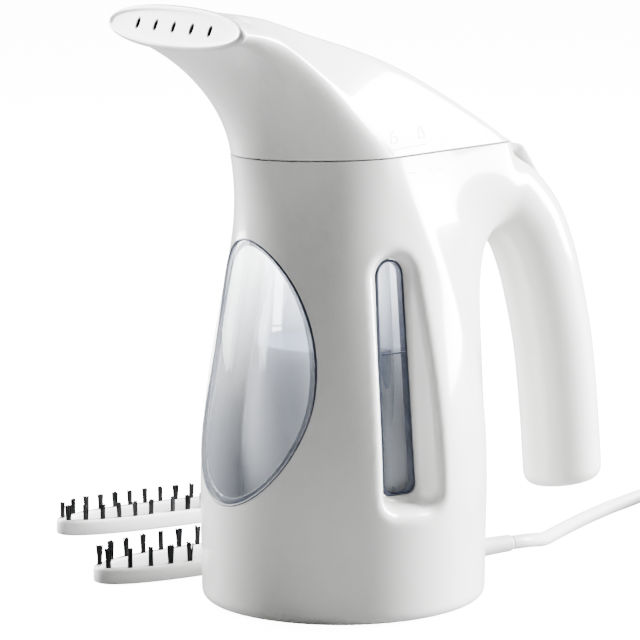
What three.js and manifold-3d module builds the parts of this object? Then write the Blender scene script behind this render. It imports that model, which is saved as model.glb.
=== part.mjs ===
// Handheld garment steamer with a water tank, a lift-off nozzle head and two brush attachments.
// Millimetres, +Z up, nozzle towards -Y, handle towards +Y, origin at the middle of the base on the table.
import * as THREE from "three";
import { mergeVertices } from "three/addons/utils/BufferGeometryUtils.js";
import Module from "manifold-3d";

const wasm = await Module();
wasm.setup();

// ---- Driving dimensions -------------------------------------------------------------------------
const SEAM_Z = 178; // parting plane between body and head
const GAP = 0.3; // clearance kept between touching pieces
const WALL = 2.4; // moulded wall thickness
const RING_POINTS = 28; // points round each casing section

const WINDOW = { half: 35.8, low: 43.5, middle: 88, high: 146.5, pane: 2 };
const GAUGE = { y: -5, low: 41.5, high: 145, rimLow: 14.6, rimHigh: 11.4, paneLow: 8, paneHigh: 6.6 };
const NECK = { y: -12, mouth: 24, spigot: 23.2 };
const HEAD_PIVOT = { y: -96.7, z: SEAM_Z }; // the head's sections fan about this line
const PLATE_ANGLE = 68; // degrees from the seam plane to the nozzle face
const PLATE = { half: 47, low: 46, high: 62.6, thick: 3, holes: 5, pitch: 12.6, holeWide: 3, holeTall: 4.4 };
const SWITCH = { y: 87, z: 167.8, slope: -51, long: 17.4, wide: 12, deep: 6, proud: 1.4 };
const CORD = { radius: 3, exitY: 58.6, exitZ: 10, relief: 24 };
const COIL = { x: -18, y: 240, inner: 20, outer: 49, low: 1, high: 13.3 };
const BRUSH = { long: 92, wide: 26, bar: 5, low: 0, high: 6.4, tufts: 13, tuftHeight: 8 };

// ---- Finishes -------------------------------------------------------------------------------------
const finish = (color, roughness, metalness = 0, opacity = 1) =>
  new THREE.MeshStandardMaterial({ color, roughness, metalness, opacity, transparent: opacity < 1 });
const GLOSS_WHITE = () => finish(0xefefec, 0.16);
const MATT_WHITE = () => finish(0xe6e6e2, 0.45);
const GREY_PLASTIC = () => finish(0xb9bbbd, 0.4);
const SMOKED = () => finish(0xaab4c6, 0.06, 0, 0.35);
const CLEAR = () => finish(0xdfe6ef, 0.05, 0, 0.35);
const DARK_SEAL = () => finish(0x2b2f3a, 0.6);
const GREY_RUBBER = () => finish(0x8c8d8f, 0.7);
const BLACK_PLASTIC = () => finish(0x17181a, 0.5);
const BLACK_BRISTLE = () => finish(0x0e0e10, 0.55);
const STEEL = () => finish(0xb4b7bb, 0.3, 1);
const BRASS = () => finish(0xc6a15a, 0.35, 1);
const ALUMINIUM = () => finish(0xc3c6c9, 0.42, 1);
const CORD_WHITE = () => finish(0xe9e9e8, 0.4);

// ---- Geometry helpers ---------------------------------------------------------------------------
const radians = THREE.MathUtils.degToRad;
const mix = THREE.MathUtils.lerp;

// A closed surface through rings that hold the same number of points, capped flat at both ends.
function loft(rings) {
  const count = rings[0].length;
  const points = rings.flat();
  const faces = [];
  for (let r = 0; r + 1 < rings.length; r++) {
    for (let i = 0; i < count; i++) {
      const a = r * count + i;
      const b = r * count + ((i + 1) % count);
      faces.push(a, b, b + count, a, b + count, a + count);
    }
  }
  for (const [ring, first, flip] of [
    [rings[0], 0, true],
    [rings.at(-1), (rings.length - 1) * count, false],
  ]) {
    const middle = ring.reduce((sum, p) => sum.add(p), new THREE.Vector3()).divideScalar(count);
    const centre = points.push(middle) - 1;
    for (let i = 0; i < count; i++) {
      const a = first + i;
      const b = first + ((i + 1) % count);
      faces.push(...(flip ? [b, a, centre] : [a, b, centre]));
    }
  }
  const geometry = new THREE.BufferGeometry().setFromPoints(points);
  geometry.setIndex(faces);
  return signedVolume(geometry) < 0 ? turnedInsideOut(geometry) : geometry;
}

function signedVolume(geometry) {
  const p = geometry.getAttribute("position");
  const index = geometry.index.array;
  const [a, b, c] = [new THREE.Vector3(), new THREE.Vector3(), new THREE.Vector3()];
  let six = 0;
  for (let i = 0; i < index.length; i += 3) {
    a.fromBufferAttribute(p, index[i]);
    b.fromBufferAttribute(p, index[i + 1]);
    c.fromBufferAttribute(p, index[i + 2]);
    six += a.dot(b.cross(c));
  }
  return six / 6;
}

function turnedInsideOut(geometry) {
  const index = geometry.index.array;
  for (let i = 0; i < index.length; i += 3) [index[i], index[i + 1]] = [index[i + 1], index[i]];
  return geometry;
}

// A three.js geometry as a manifold-3d solid.
function solid(geometry) {
  const bare = geometry.clone();
  bare.deleteAttribute("normal");
  bare.deleteAttribute("uv");
  const merged = mergeVertices(bare, 1e-4);
  return new wasm.Manifold(
    new wasm.Mesh({
      numProp: 3,
      vertProperties: new Float32Array(merged.getAttribute("position").array),
      triVerts: new Uint32Array(merged.index.array),
    }),
  );
}

function geometryOf(manifold) {
  const mesh = manifold.getMesh();
  const geometry = new THREE.BufferGeometry();
  geometry.setAttribute("position", new THREE.BufferAttribute(new Float32Array(mesh.vertProperties), 3));
  geometry.setIndex(new THREE.BufferAttribute(new Uint32Array(mesh.triVerts), 1));
  return geometry;
}

const join = (...solids) => solids.reduce((all, one) => all.add(one));
const cut = (whole, ...tools) => tools.reduce((left, tool) => left.subtract(tool), whole);

// A geometry turned about X by the given degrees, then moved.
function placed(geometry, x, y, z, turnX = 0, turnZ = 0) {
  return geometry.rotateX(radians(turnX)).rotateZ(radians(turnZ)).translate(x, y, z);
}

// An upright cylinder solid between two heights.
function post(radius, x, y, low, high, sides = 14) {
  const geometry = new THREE.CylinderGeometry(radius, radius, high - low, sides).rotateX(Math.PI / 2);
  return solid(geometry.translate(x, y, (low + high) / 2));
}

// An upright ring between two radii and two heights.
function ring(inner, outer, x, y, low, high, sides = 28) {
  const profile = [
    [inner, low],
    [outer, low],
    [outer, high],
    [inner, high],
    [inner, low],
  ].map(([r, h]) => new THREE.Vector2(r, h));
  return solid(new THREE.LatheGeometry(profile, sides).rotateX(Math.PI / 2).translate(x, y, 0));
}

// A round rod along a smooth curve through the given points.
function rod(points, radius, steps, sides = 8) {
  const section = new THREE.Shape();
  section.absarc(0, 0, radius, 0, 2 * Math.PI);
  const path = new THREE.CatmullRomCurve3(points.map((p) => new THREE.Vector3(...p)));
  const options = { steps, curveSegments: sides / 2, extrudePath: path };
  return solid(new THREE.ExtrudeGeometry(section, options));
}

// A closed oval with its own power in front of and behind its widest line.
function oval(half, middle, front, back, frontPower, backPower, place, count = RING_POINTS) {
  return Array.from({ length: count }, (_, i) => {
    const angle = (2 * Math.PI * i) / count;
    const [c, s] = [Math.cos(angle), Math.sin(angle)];
    const power = 2 / (s < 0 ? frontPower : backPower);
    const reach = s < 0 ? middle - front : back - middle;
    const across = Math.sign(c) * half * Math.abs(c) ** power;
    return place(across, middle + Math.sign(s) * reach * Math.abs(s) ** power);
  });
}

// ---- Casing forms -------------------------------------------------------------------------------
// Height, half width, front, back and the power of the back half of each level of the body.
const BODY_LEVELS = [
  [0.6, 51.5, -54, 53, 2],
  [4.6, 54.2, -56.8, 55.6, 2],
  [20, 54.8, -57.8, 56.6, 2],
  [46, 55, -58.3, 57.4, 2],
  [68, 53.6, -57.6, 57.2, 2],
  [88, 50.8, -55.8, 56, 1.95],
  [104, 47.8, -53.6, 54.6, 1.85],
  [120, 44.4, -50.8, 53.6, 1.75],
  [134, 41, -48.2, 56, 1.68],
  [150, 37.6, -46, 63, 1.62],
  [164, 35.6, -46.2, 70, 1.58],
  [SEAM_Z - 0.2, 35, -48.4, 72, 1.55],
];
const BODY_MIDDLE = -2;
const levelAt = new THREE.CubicInterpolant(
  BODY_LEVELS.map((level) => level[0]),
  BODY_LEVELS.flatMap((level) => level.slice(1)),
  4,
);

// A solid of the body's form, shrunk by an inset, through the given heights.
function bodyForm(inset, heights, backLimit = Infinity) {
  return solid(
    loft(
      heights.map((z) => {
        const [half, front, back, power] = levelAt.evaluate(z);
        const rear = Math.min(back, backLimit) - inset;
        const place = (x, y) => new THREE.Vector3(x, y, z);
    return oval(half - inset, BODY_MIDDLE, front + inset, rear, 2, power, place);
      }),
    ),
  );
}
const OUTER_HEIGHTS = BODY_LEVELS.map((level) => level[0]);

// The handle's middle line from inside the neck to its open end, as Y and Z.
const HANDLE_LINE = new THREE.CatmullRomCurve3(
  [
    [20, 157.5],
    [50, 160],
    [73, 155.5],
    [86.5, 144],
    [94, 130],
    [98.8, 115],
    [104, 92],
    [107.5, 64],
    [110, 35.5],
  ].map(([y, z]) => new THREE.Vector3(0, y, z)),
);
const HANDLE = { half: 15, thick: 17 };
const HANDLE_STEPS = 16;

// A solid of the handle's form, shrunk by an inset, between two shares of its length, with its end run on.
function handleForm(inset, from, to, steps, overrun = 0) {
  const rings = Array.from({ length: steps + 1 }, (_, i) => {
    const at = mix(from, to, i / steps);
    const along = HANDLE_LINE.getTangent(at);
    const point = HANDLE_LINE.getPoint(at).addScaledVector(along, i === steps ? overrun : 0);
    const out = new THREE.Vector3(0, -along.z, along.y);
    return oval(HANDLE.half - inset, 0, inset - HANDLE.thick, HANDLE.thick - inset, 2.3, 2.3, (x, r) =>
      new THREE.Vector3(x, 0, 0).add(point).addScaledVector(out, r), 16);
  });
  return solid(loft(rings));
}

// Angle, half width, widest radius, inner radius, outer radius and back power of the head's sections.
const HEAD_LEVELS = [
  [0, 35, 92.5, 48.2, 168.7, 1.55],
  [6, 35, 85, 48.1, 144, 1.6],
  [12, 35.2, 79, 47.7, 126.8, 1.65],
  [19, 35.8, 74, 47, 109.5, 1.7],
  [27, 37, 69.2, 46.2, 93.2, 1.75],
  [36, 39, 65.2, 45.6, 80.6, 1.85],
  [47, 42, 61, 45.4, 71.8, 1.95],
  [58, 45, 57.4, 45.7, 66.2, 2],
  [PLATE_ANGLE, 46.2, 54.3, 46.4, 62.2, 2],
];

const headPoint = (angle) => (x, radius) =>
  new THREE.Vector3(
    x,
    HEAD_PIVOT.y + radius * Math.cos(radians(angle)),
    HEAD_PIVOT.z + radius * Math.sin(radians(angle)),
  );

// A solid of the head's form, shrunk by an inset, run on past its ends by two angles.
function headForm(inset, before = 0, after = 0, lift = 0.25) {
  const last = HEAD_LEVELS.length - 1;
  const rings = HEAD_LEVELS.map(([angle, half, widest, inner, outer, power], i) => {
    const turned = angle + (i === 0 ? before : 0) + (i === last ? after : 0);
    return oval(half - inset, widest, inner + inset, outer - inset, 2, power, headPoint(turned));
  });
  if (inset > 0) return solid(loft(rings));
  return solid(loft(rings)).trimByPlane([0, 0, 1], SEAM_Z + lift);
}

// The egg-shaped outline of the front window, grown by a margin, as a bar along Y.
function windowBar(margin, yFrom, yTo) {
  const shape = new THREE.Shape(
    Array.from({ length: 28 }, (_, i) => {
      const angle = (2 * Math.PI * i) / 28;
      const tall = Math.sin(angle) > 0 ? WINDOW.high - WINDOW.middle : WINDOW.middle - WINDOW.low;
      return new THREE.Vector2(
        (WINDOW.half + margin) * Math.cos(angle),
        WINDOW.middle + (tall + margin) * Math.sin(angle),
      );
    }),
  );
  const bar = new THREE.ExtrudeGeometry(shape, { depth: yTo - yFrom, bevelEnabled: false });
  return solid(bar.rotateX(Math.PI / 2).translate(0, yTo, 0));
}

// A slot outline in Y and Z with a round top and a nearly square bottom.
function slotRing(x, lean, halfLow, halfHigh, low, high) {
  const corner = 4;
  const points = [];
  for (let i = 0; i <= 10; i++) {
    const angle = (Math.PI * i) / 10;
    points.push([halfHigh * Math.cos(angle), high - halfHigh + halfHigh * Math.sin(angle)]);
  }
  for (const side of [-1, 1]) {
    for (let i = 0; i <= 3; i++) {
      const angle = side < 0 ? Math.PI + (Math.PI / 6) * i : 1.5 * Math.PI + (Math.PI / 6) * i;
      points.push([
        side * (halfLow - corner) + corner * Math.cos(angle),
        low + corner + corner * Math.sin(angle),
      ]);
    }
  }
  return points.map(([y, z]) => new THREE.Vector3(x + lean * (z - low), GAUGE.y + y, z));
}

// The gauge recess and its window lie on a floor that leans inwards with height.
const FLOOR = { x: 43.5, lean: -0.085 };
function gaugePrism(side, inX, outX, half, low, high, outGrow = 0) {
  const inner = slotRing(inX, FLOOR.lean, half[0], half[1], low, high);
  const grown = half.map((h) => h + outGrow);
  const outer = slotRing(outX, FLOOR.lean, ...grown, low - outGrow, high + outGrow);
  return solid(loft([inner, outer].map((r) => r.map((p) => new THREE.Vector3(side * p.x, p.y, p.z)))));
}

// ---- Assembly -----------------------------------------------------------------------------------
const steamer = new THREE.Group();
const base = new THREE.Group();
const head = new THREE.Group();
const cable = new THREE.Group();
const brushes = new THREE.Group();
steamer.add(base, head, cable, brushes);

// Adds a solid or a geometry to a group as a named mesh.
function piece(group, name, shape, material) {
  const geometry = shape.isBufferGeometry ? shape : geometryOf(shape);
  const mesh = new THREE.Mesh(geometry, material);
  mesh.name = name;
  group.add(mesh);
  return mesh;
}

const SIDES = [
  ["right", 1],
  ["left", -1],
];

// ---- Body casing ----------------------------------------------------------------------------------
const GAUGE_FLOOR_HALF = [9.6, 8];
// A block in the switch's own frame: wide along X, long down the slope, deep along the slope's normal.
function switchBlock(wide, long, deep, rise, tilt = 0) {
  const box = new THREE.BoxGeometry(wide, long, deep).rotateX(radians(tilt));
  box.translate(0, 0, rise).rotateX(radians(SWITCH.slope));
  return solid(box.translate(0, SWITCH.y, SWITCH.z));
}

function bodyShell() {
  const outside = join(bodyForm(0, OUTER_HEIGHTS), handleForm(0, 0, 1, HANDLE_STEPS));
  const inside = join(
    bodyForm(WALL, [-1, ...OUTER_HEIGHTS.slice(1, -1), SEAM_Z + 1]),
    handleForm(WALL, 0, 1, HANDLE_STEPS, 3),
  );
  const pockets = SIDES.map(([, side]) =>
    gaugePrism(side, FLOOR.x - WALL, 62, GAUGE_FLOOR_HALF.map((h) => h + WALL), 42.5, 143.5, 3.2)
      .intersect(outside),
  );
  const tools = SIDES.flatMap(([, side]) => [
    gaugePrism(side, FLOOR.x, 62, GAUGE_FLOOR_HALF, 46, 141.5, 5),
    gaugePrism(side, 20, FLOOR.x + 2, [GAUGE.paneLow, GAUGE.paneHigh], 48.5, 139.8),
  ]);
  return cut(
    join(cut(outside, inside), ...pockets),
    ...tools,
    windowBar(0, -80, -20),
    switchBlock(SWITCH.wide + 1, SWITCH.long + 2.4, 14, 0),
    cordHole(),
  ).trimByPlane([0, 0, -1], -(SEAM_Z - 0.2));
}

function cordHole() {
  return solid(new THREE.CylinderGeometry(5.2, 5.2, 20, 20).translate(0, 56, CORD.exitZ));
}

piece(base, "body_shell", bodyShell(), GLOSS_WHITE());

piece(base, "handle_end_cap", handleEndCap(), GLOSS_WHITE());

function handleEndCap() {
  const y = HANDLE_LINE.getPoint(1).y;
  const plug = handleForm(WALL + 2 * GAP, (HANDLE_STEPS - 1) / HANDLE_STEPS, 1, 1);
  return plug.trimByPlane([0, 0, 1], 35.8).trimByPlane([0, 0, -1], -38.6).add(post(5, 0, y, 38, 44));
}

const DECK_SCREWS = [
  [0, 30],
  [-22, 22],
  [22, 22],
];
const COLLAR_SCREWS = [
  [-20, 18],
  [20, 18],
];

// ---- Windows --------------------------------------------------------------------------------------
const WINDOW_HEIGHTS = [30, 46, 60, 74, 88, 100, 112, 124, 136, 148, 158];
const paneLayer = (from, to) =>
  cut(bodyForm(from, WINDOW_HEIGHTS), bodyForm(to, [29, ...WINDOW_HEIGHTS, 159]));
piece(base, "front_window", paneLayer(0.05, WINDOW.pane).intersect(windowBar(-GAP, -80, -15)), SMOKED());
const sealBand = cut(windowBar(4, -80, -15), windowBar(-1.5, -81, -14));
piece(base, "front_window_seal", paneLayer(WALL + GAP, WALL + GAP + 1.4).intersect(sealBand), DARK_SEAL());

for (const [side, sign] of SIDES) {
  const paneHalf = [GAUGE.paneLow - 1.4, GAUGE.paneHigh - 1.4];
  const pane = gaugePrism(sign, FLOOR.x - 3, FLOOR.x + 0.8, paneHalf, 49.9, 138.4);
  piece(base, `side_window_${side}`, pane, CLEAR());
  const halves = [GAUGE.paneLow - GAP, GAUGE.paneHigh - GAP];
  const outer = gaugePrism(sign, FLOOR.x - 3, FLOOR.x + 0.3, halves, 48.8, 139.5);
  const bore = gaugePrism(sign, FLOOR.x - 5, FLOOR.x + 2, paneHalf.map((h) => h + GAP), 49.6, 138.7);
  piece(base, `side_window_seal_${side}`, cut(outer, bore), DARK_SEAL());
}

// ---- Tank, boiler and neck ------------------------------------------------------------------------
const TANK = { inset: 15.5, low: 34, high: 158, wall: 1.6, backLimit: 50 };
const TANK_HEIGHTS = [TANK.low, 60, 88, 112, 136, TANK.high];
function waterTank() {
  const outer = bodyForm(TANK.inset, TANK_HEIGHTS, TANK.backLimit);
  const heights = [TANK.low + 2, ...TANK_HEIGHTS.slice(1, -1), TANK.high + 1];
  const inner = bodyForm(TANK.inset + TANK.wall, heights, TANK.backLimit);
  return cut(outer, inner, post(12.5, 0, BOILER.y, TANK.low - 1, TANK.low + 3));
}
const BOILER = { y: 8, radius: 12, low: 30, high: 164 };
piece(base, "water_tank", waterTank(), CLEAR());
const boilerProfile = [
  [0, 31],
  [15, 31],
  [15, 33.6],
  [BOILER.radius, 33.6],
  [BOILER.radius, 120],
  [8, 132],
  [8, BOILER.high],
  [6, BOILER.high],
  [6, 130],
  [BOILER.radius - 2, 118],
  [BOILER.radius - 2, 34],
  [0, 34],
].map(([r, z]) => new THREE.Vector2(r, z));
const boilerForm = new THREE.LatheGeometry(boilerProfile, 28).rotateX(Math.PI / 2);
const boiler = solid(boilerForm.translate(0, BOILER.y, 0));
piece(base, "boiler_column", boiler, MATT_WHITE());

const element = [-1, 1].map((side) => post(2.2, side * 4.2, BOILER.y, 34.4, 104, 10));
const bridgeForm = new THREE.CapsuleGeometry(2.2, 8.4, 4, 10).rotateZ(Math.PI / 2);
const bridge = solid(placed(bridgeForm, 0, BOILER.y, 104));
piece(base, "heating_element", join(...element, bridge), STEEL());
const plateRim = ring(26, 30, 0, BOILER.y, 24.4, 26.4);
piece(base, "heater_plate", ring(6, 30, 0, BOILER.y, 26.4, 30.6).add(plateRim), ALUMINIUM());
const thermostat = join(post(8, 17.5, BOILER.y, 21, 26.1), post(3, 17.5, BOILER.y, 17, 21.5));
piece(base, "thermostat", thermostat, BLACK_PLASTIC());
const fuse = placed(new THREE.CapsuleGeometry(2.2, 12, 4, 10), -16, BOILER.y, 23.8);
piece(base, "thermal_fuse", fuse, BRASS());

const deckHole = post(NECK.mouth, 0, NECK.y, 160, 182, 40);
const deck = bodyForm(WALL + 2 * GAP, [168.5, 171.5]);
const deckCollar = ring(NECK.mouth - 0.2, NECK.mouth + 2.6, 0, NECK.y, 164, 169);
piece(base, "neck_deck", cut(deck.add(deckCollar), deckHole, screwHoles()), MATT_WHITE());

function screwHoles() {
  return join(...DECK_SCREWS.map(([x, y]) => post(1.6, x, y, 160, 180, 8)));
}
DECK_SCREWS.forEach(([x, y], i) => piece(base, `deck_screw_${i + 1}`, screw(x, y, 171.8, 161, 1), STEEL()));

// A pan-head screw with its head at one height and its tip at another.
function screw(x, y, seat, tip, up) {
  const headHigh = seat + up * 1.6;
  const [low, high] = [Math.min(seat, headHigh), Math.max(seat, headHigh)];
  const [from, to] = [Math.min(tip, seat + up * 0.1), Math.max(tip, seat + up * 0.1)];
  return post(2.8, x, y, low, high, 10).add(post(1.3, x, y, from, to, 6));
}

// ---- Base -----------------------------------------------------------------------------------------
const FOOT = { radius: 5, reach: 41, high: 2.2 };
const FOOT_ANGLES = [45, 135, 225, 315];
const footPlace = (angle, reach) => [reach * Math.cos(radians(angle)), reach * Math.sin(radians(angle))];
const SCREW_ANGLES = [0, 90, 180, 270];
const SCREW_REACH = 24;
function basePlate() {
  const plate = bodyForm(WALL + GAP, [1.4, 4.2]);
  const bosses = FOOT_ANGLES.map((angle) =>
    ring(FOOT.radius + GAP, FOOT.radius + 1.8, ...footPlace(angle, FOOT.reach), 0.8, 2, 14));
  const holes = SCREW_ANGLES.map((angle) => post(1.6, ...footPlace(angle, SCREW_REACH), 0, 5, 8));
  return cut(join(plate, post(14, 0, 0, 0, 2), ...bosses), ...holes);
}
piece(base, "base_plate", basePlate(), MATT_WHITE());
FOOT_ANGLES.forEach((angle, i) =>
  piece(base, `foot_${i + 1}`, post(FOOT.radius, ...footPlace(angle, FOOT.reach), 0, 1.1, 20),
    GREY_RUBBER()));
SCREW_ANGLES.forEach((angle, i) =>
  piece(base, `base_screw_${i + 1}`, screw(...footPlace(angle, SCREW_REACH), 1.1, 13, -1 / 2), STEEL()));

// ---- Wiring, clamp and switch -----------------------------------------------------------------------
const TERMINAL = { x: 0, y: 38, z: 12 };
const block = new THREE.BoxGeometry(20, 9, 10).translate(TERMINAL.x, TERMINAL.y, TERMINAL.z);
piece(base, "terminal_block", block, BLACK_PLASTIC());
const clampBar = new THREE.BoxGeometry(16, 5, 3).translate(0, 50, CORD.exitZ + 4.9);
piece(base, "cord_clamp", clampBar, GREY_PLASTIC());
const housing = switchBlock(SWITCH.wide + 1, SWITCH.long - 2, 8, -13);
piece(base, "switch_housing", housing, BLACK_PLASTIC());
const riser = (x) => [
  [x, 40, 17.4],
  [x, 47, 40],
  [x, 48, 80],
  [x, 46.5, 120],
  [x, 50, 145],
  [x, 62, 151],
  [x, 73.2, 150.6],
];
piece(base, "switch_wire_live", rod(riser(3.5), 1.1, 14, 6), finish(0x7a4a2a, 0.5));
piece(base, "switch_wire_return", rod(riser(-3.5), 1.1, 14, 6), finish(0x2f4f8a, 0.5));
const heaterLead = (side) => [
  [side * 6, 32.4, 13],
  [side * 10, 26, 14],
  [side * 16, 14, 14.6],
  [side * 17.5, BOILER.y, side > 0 ? 15.2 : 20.2],
];
piece(base, "heater_wire_live", rod(heaterLead(1), 1.1, 12, 6), finish(0xb9b4a4, 0.5));
piece(base, "heater_wire_return", rod(heaterLead(-1), 1.1, 12, 6), finish(0xb9b4a4, 0.5));

// ---- Head -----------------------------------------------------------------------------------------
const HEAD_WALL = 2.2;
function headShell() {
  return cut(headForm(0), headForm(HEAD_WALL, -3, 4));
}
piece(head, "head_shell", headShell(), GLOSS_WHITE());
function headCollar() {
  const level = HEAD_LEVELS[0];
  const edge = (z) =>
    oval(level[1] - HEAD_WALL - 1.6, level[2] + HEAD_PIVOT.y, HEAD_PIVOT.y + level[3] + HEAD_WALL + 1.2,
      HEAD_PIVOT.y + level[4] - 16, 2, 1.6, (x, y) => new THREE.Vector3(x, y, z));
  const plate = solid(loft([edge(SEAM_Z + 0.6), edge(SEAM_Z + 2.8)]));
  const spigot = ring(NECK.spigot - 2, NECK.spigot, 0, NECK.y, 169.2, SEAM_Z + 1.6, 40);
  const opening = post(NECK.spigot - 2, 0, NECK.y, 170, 190, 40);
  return cut(plate.add(spigot), opening, ...COLLAR_SCREWS.map(([x, y]) => post(1.6, x, y, 170, 190, 8)));
}
piece(head, "head_collar", headCollar(), MATT_WHITE());
COLLAR_SCREWS.forEach(([x, y], i) =>
  piece(head, `collar_screw_${i + 1}`, screw(x, y, SEAM_Z + 3.1, SEAM_Z + 0.9, 1), STEEL()));
const sealRing = ring(NECK.spigot + GAP, NECK.mouth + 2.4, 0, NECK.y, 171.9, 174.6, 40);
piece(head, "neck_seal", sealRing, GREY_RUBBER());

// The nozzle face and its gasket are built flat, X across and Y up the face, then turned to its place.
const faceMiddle = headPoint(PLATE_ANGLE)(0, (PLATE.low + PLATE.high) / 2);
const onFace = (geometry) => placed(geometry, 0, faceMiddle.y, faceMiddle.z, PLATE_ANGLE);
function ovalDisc(half, tall, from, to, sides = 16) {
  const shape = new THREE.Shape();
  shape.absellipse(0, 0, half, tall, 0, 2 * Math.PI);
  const options = { depth: to - from, bevelEnabled: false, curveSegments: sides };
  return solid(onFace(new THREE.ExtrudeGeometry(shape, options).translate(0, 0, from)));
}
function nozzlePlate() {
  const tall = (PLATE.high - PLATE.low) / 2 + 0.5;
  const front = ovalDisc(PLATE.half, tall, GAP, GAP + PLATE.thick);
  const holes = Array.from({ length: PLATE.holes }, (_, i) => {
    const x = (i - (PLATE.holes - 1) / 2) * PLATE.pitch;
    const radius = PLATE.holeWide / 2;
    const bore = new THREE.CylinderGeometry(radius, radius, 10, 10).rotateX(Math.PI / 2);
    return solid(onFace(bore.scale(1, PLATE.holeTall / PLATE.holeWide, 1).translate(x, 0, 2)));
  });
  return cut(front, ...holes);
}
piece(head, "nozzle_plate", nozzlePlate(), GLOSS_WHITE());
piece(head, "nozzle_gasket", cut(ovalDisc(42.5, 4.8, -2, 0), ovalDisc(40.8, 3.3, -3, 1)), GREY_RUBBER());

// Angle, middle radius, half width and half height of the duct from the collar to the nozzle.
const DUCT_LEVELS = [
  [3, NECK.y - HEAD_PIVOT.y, 19, 19],
  [14, 80, 20, 17],
  [26, 70, 24, 12],
  [38, 62.6, 29, 8],
  [50, 58, 34, 5.6],
  [PLATE_ANGLE - 3.5, 54.3, 38, 4],
];
function ductForm(inset, before, after) {
  const last = DUCT_LEVELS.length - 1;
  return solid(
    loft(
      DUCT_LEVELS.map(([angle, middle, half, tall], i) => {
        const turned = angle + (i === 0 ? before : 0) + (i === last ? after : 0);
        const reach = tall - inset;
        return oval(half - inset, middle, middle - reach, middle + reach, 2, 2, headPoint(turned), 20);
      }),
    ),
  );
}
piece(head, "steam_duct", cut(ductForm(0, 0, 0), ductForm(1.3, -2, 2)), MATT_WHITE());
function baffle() {
  const middle = 82.3;
  const disc = [8, 9.2].map((angle) =>
    oval(16.2, middle, middle - 15, middle + 15, 2, 2, headPoint(angle), 24));
  const holes = [-8, 0, 8].map((x) => post(2.2, x, NECK.y - 2, 180, 200, 8));
  return cut(solid(loft(disc)), ...holes);
}
piece(head, "spit_baffle", baffle(), ALUMINIUM());

// ---- Rocker switch --------------------------------------------------------------------------------
const ROCKER_TILT = -6;
const rockerMiddle = SWITCH.proud - SWITCH.deep / 2;
const rocker = switchBlock(SWITCH.wide, SWITCH.long, SWITCH.deep, rockerMiddle, ROCKER_TILT);
piece(base, "switch_rocker", rocker, GLOSS_WHITE());

// ---- Cord, coil and plug --------------------------------------------------------------------------
const reliefProfile = [
  [0, 46],
  [3, 46],
  [3, 52.8],
  [4.9, 52.8],
  [4.9, 57.4],
  [6.2, 57.4],
  [6.2, 59.4],
  [5, 59.8],
  [3.7, 83],
  [0, 83],
].map(([r, y]) => new THREE.Vector2(r, y));
const relief = new THREE.LatheGeometry(reliefProfile, 20).translate(0, 0, CORD.exitZ);
piece(cable, "strain_relief", solid(relief), GREY_RUBBER());

// The lead from the strain relief along the table to the coil.
const LEAD = [
  [0, 83.5, 10],
  [-0.6, 90, 9.7],
  [-5, 99, 8.2],
  [-12, 108.5, 5.8],
  [-20, 118, 3.9],
  [-27.5, 128.5, 3.05],
  [-34, 140, 3],
  [-41, 153, 3],
  [-48, 167, 3],
  [-54, 180, 3],
  [-59, 193, 3.1],
  [-62.2, 205, 3.7],
  [-63, 213.5, 4],
];
piece(cable, "power_cord", rod(LEAD, CORD.radius, 24, 8), CORD_WHITE());
piece(cable, "cord_coil", ring(COIL.inner, COIL.outer, COIL.x, COIL.y, COIL.low, COIL.high), CORD_WHITE());

function coilTie() {
  const [near, far] = [COIL.inner - 0.9, COIL.outer + GAP];
  const strap = (grow) => {
    const [from, to] = [near - grow, far + grow];
    const tall = COIL.high + GAP + grow - (0.8 - grow);
    const box = new THREE.BoxGeometry(grow > 0 ? 8 : 10, to - from, tall);
    return solid(box.translate(COIL.x, COIL.y - (from + to) / 2, 0.8 - grow + tall / 2));
  };
  return cut(strap(0.8), strap(0));
}
piece(cable, "coil_tie", coilTie(), BLACK_PLASTIC());

// The cord's last stretch leaves the coil along this heading and ends in the plug.
const TAIL = { x: 33.4, y: 232.9, z: 10.2, turn: -110 };
const plugPlace = (along, side, z) => {
  const angle = radians(TAIL.turn + 40);
  return [
    TAIL.x + along * Math.cos(angle) + side * Math.sin(angle),
    TAIL.y + along * Math.sin(angle) - side * Math.cos(angle),
    z,
  ];
};
const PLUG = { start: 16, relief: 22, body: 30, pins: 18, pinGap: 9.5, z: 7.2 };
const tail = [0, 5, 10.5, PLUG.start].map((along, i) => plugPlace(along, 0, [10.2, 9.4, 7.9, PLUG.z][i]));
piece(cable, "cord_tail", rod(tail, CORD.radius, 6, 8), CORD_WHITE());
function plugLoft(stations) {
  return solid(
    loft(
      stations.map(([along, half, tall, power]) =>
        oval(half, 0, -tall, tall, power, power,
          (x, y) => new THREE.Vector3(...plugPlace(along, x, PLUG.z + y)), 20),
      ),
    ),
  );
}
const reliefFrom = PLUG.start + 2 * GAP;
const bodyFrom = reliefFrom + PLUG.relief + GAP;
const bodyTo = bodyFrom + PLUG.body;
piece(cable, "plug_relief", plugLoft([
  [reliefFrom, 3.8, 3.8, 2],
  [reliefFrom + PLUG.relief, 5.6, 5.6, 2],
]), GREY_RUBBER());
piece(cable, "plug_body", plugLoft([
  [bodyFrom, 8, 6.3, 3],
  [bodyFrom + 8, 14.5, 7.1, 3.5],
  [bodyTo - 8, 17.5, 7.1, 4],
  [bodyTo, 17.5, 7.1, 4],
]), CORD_WHITE());
[-1, 1].forEach((side, i) => {
  const points = [bodyTo + GAP, bodyTo + GAP + PLUG.pins / 2, bodyTo + GAP + PLUG.pins];
  const pin = rod(points.map((along) => plugPlace(along, side * PLUG.pinGap, PLUG.z)), 2.1, 2, 10);
  piece(cable, `plug_pin_${i + 1}`, pin, BRASS());
});

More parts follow.
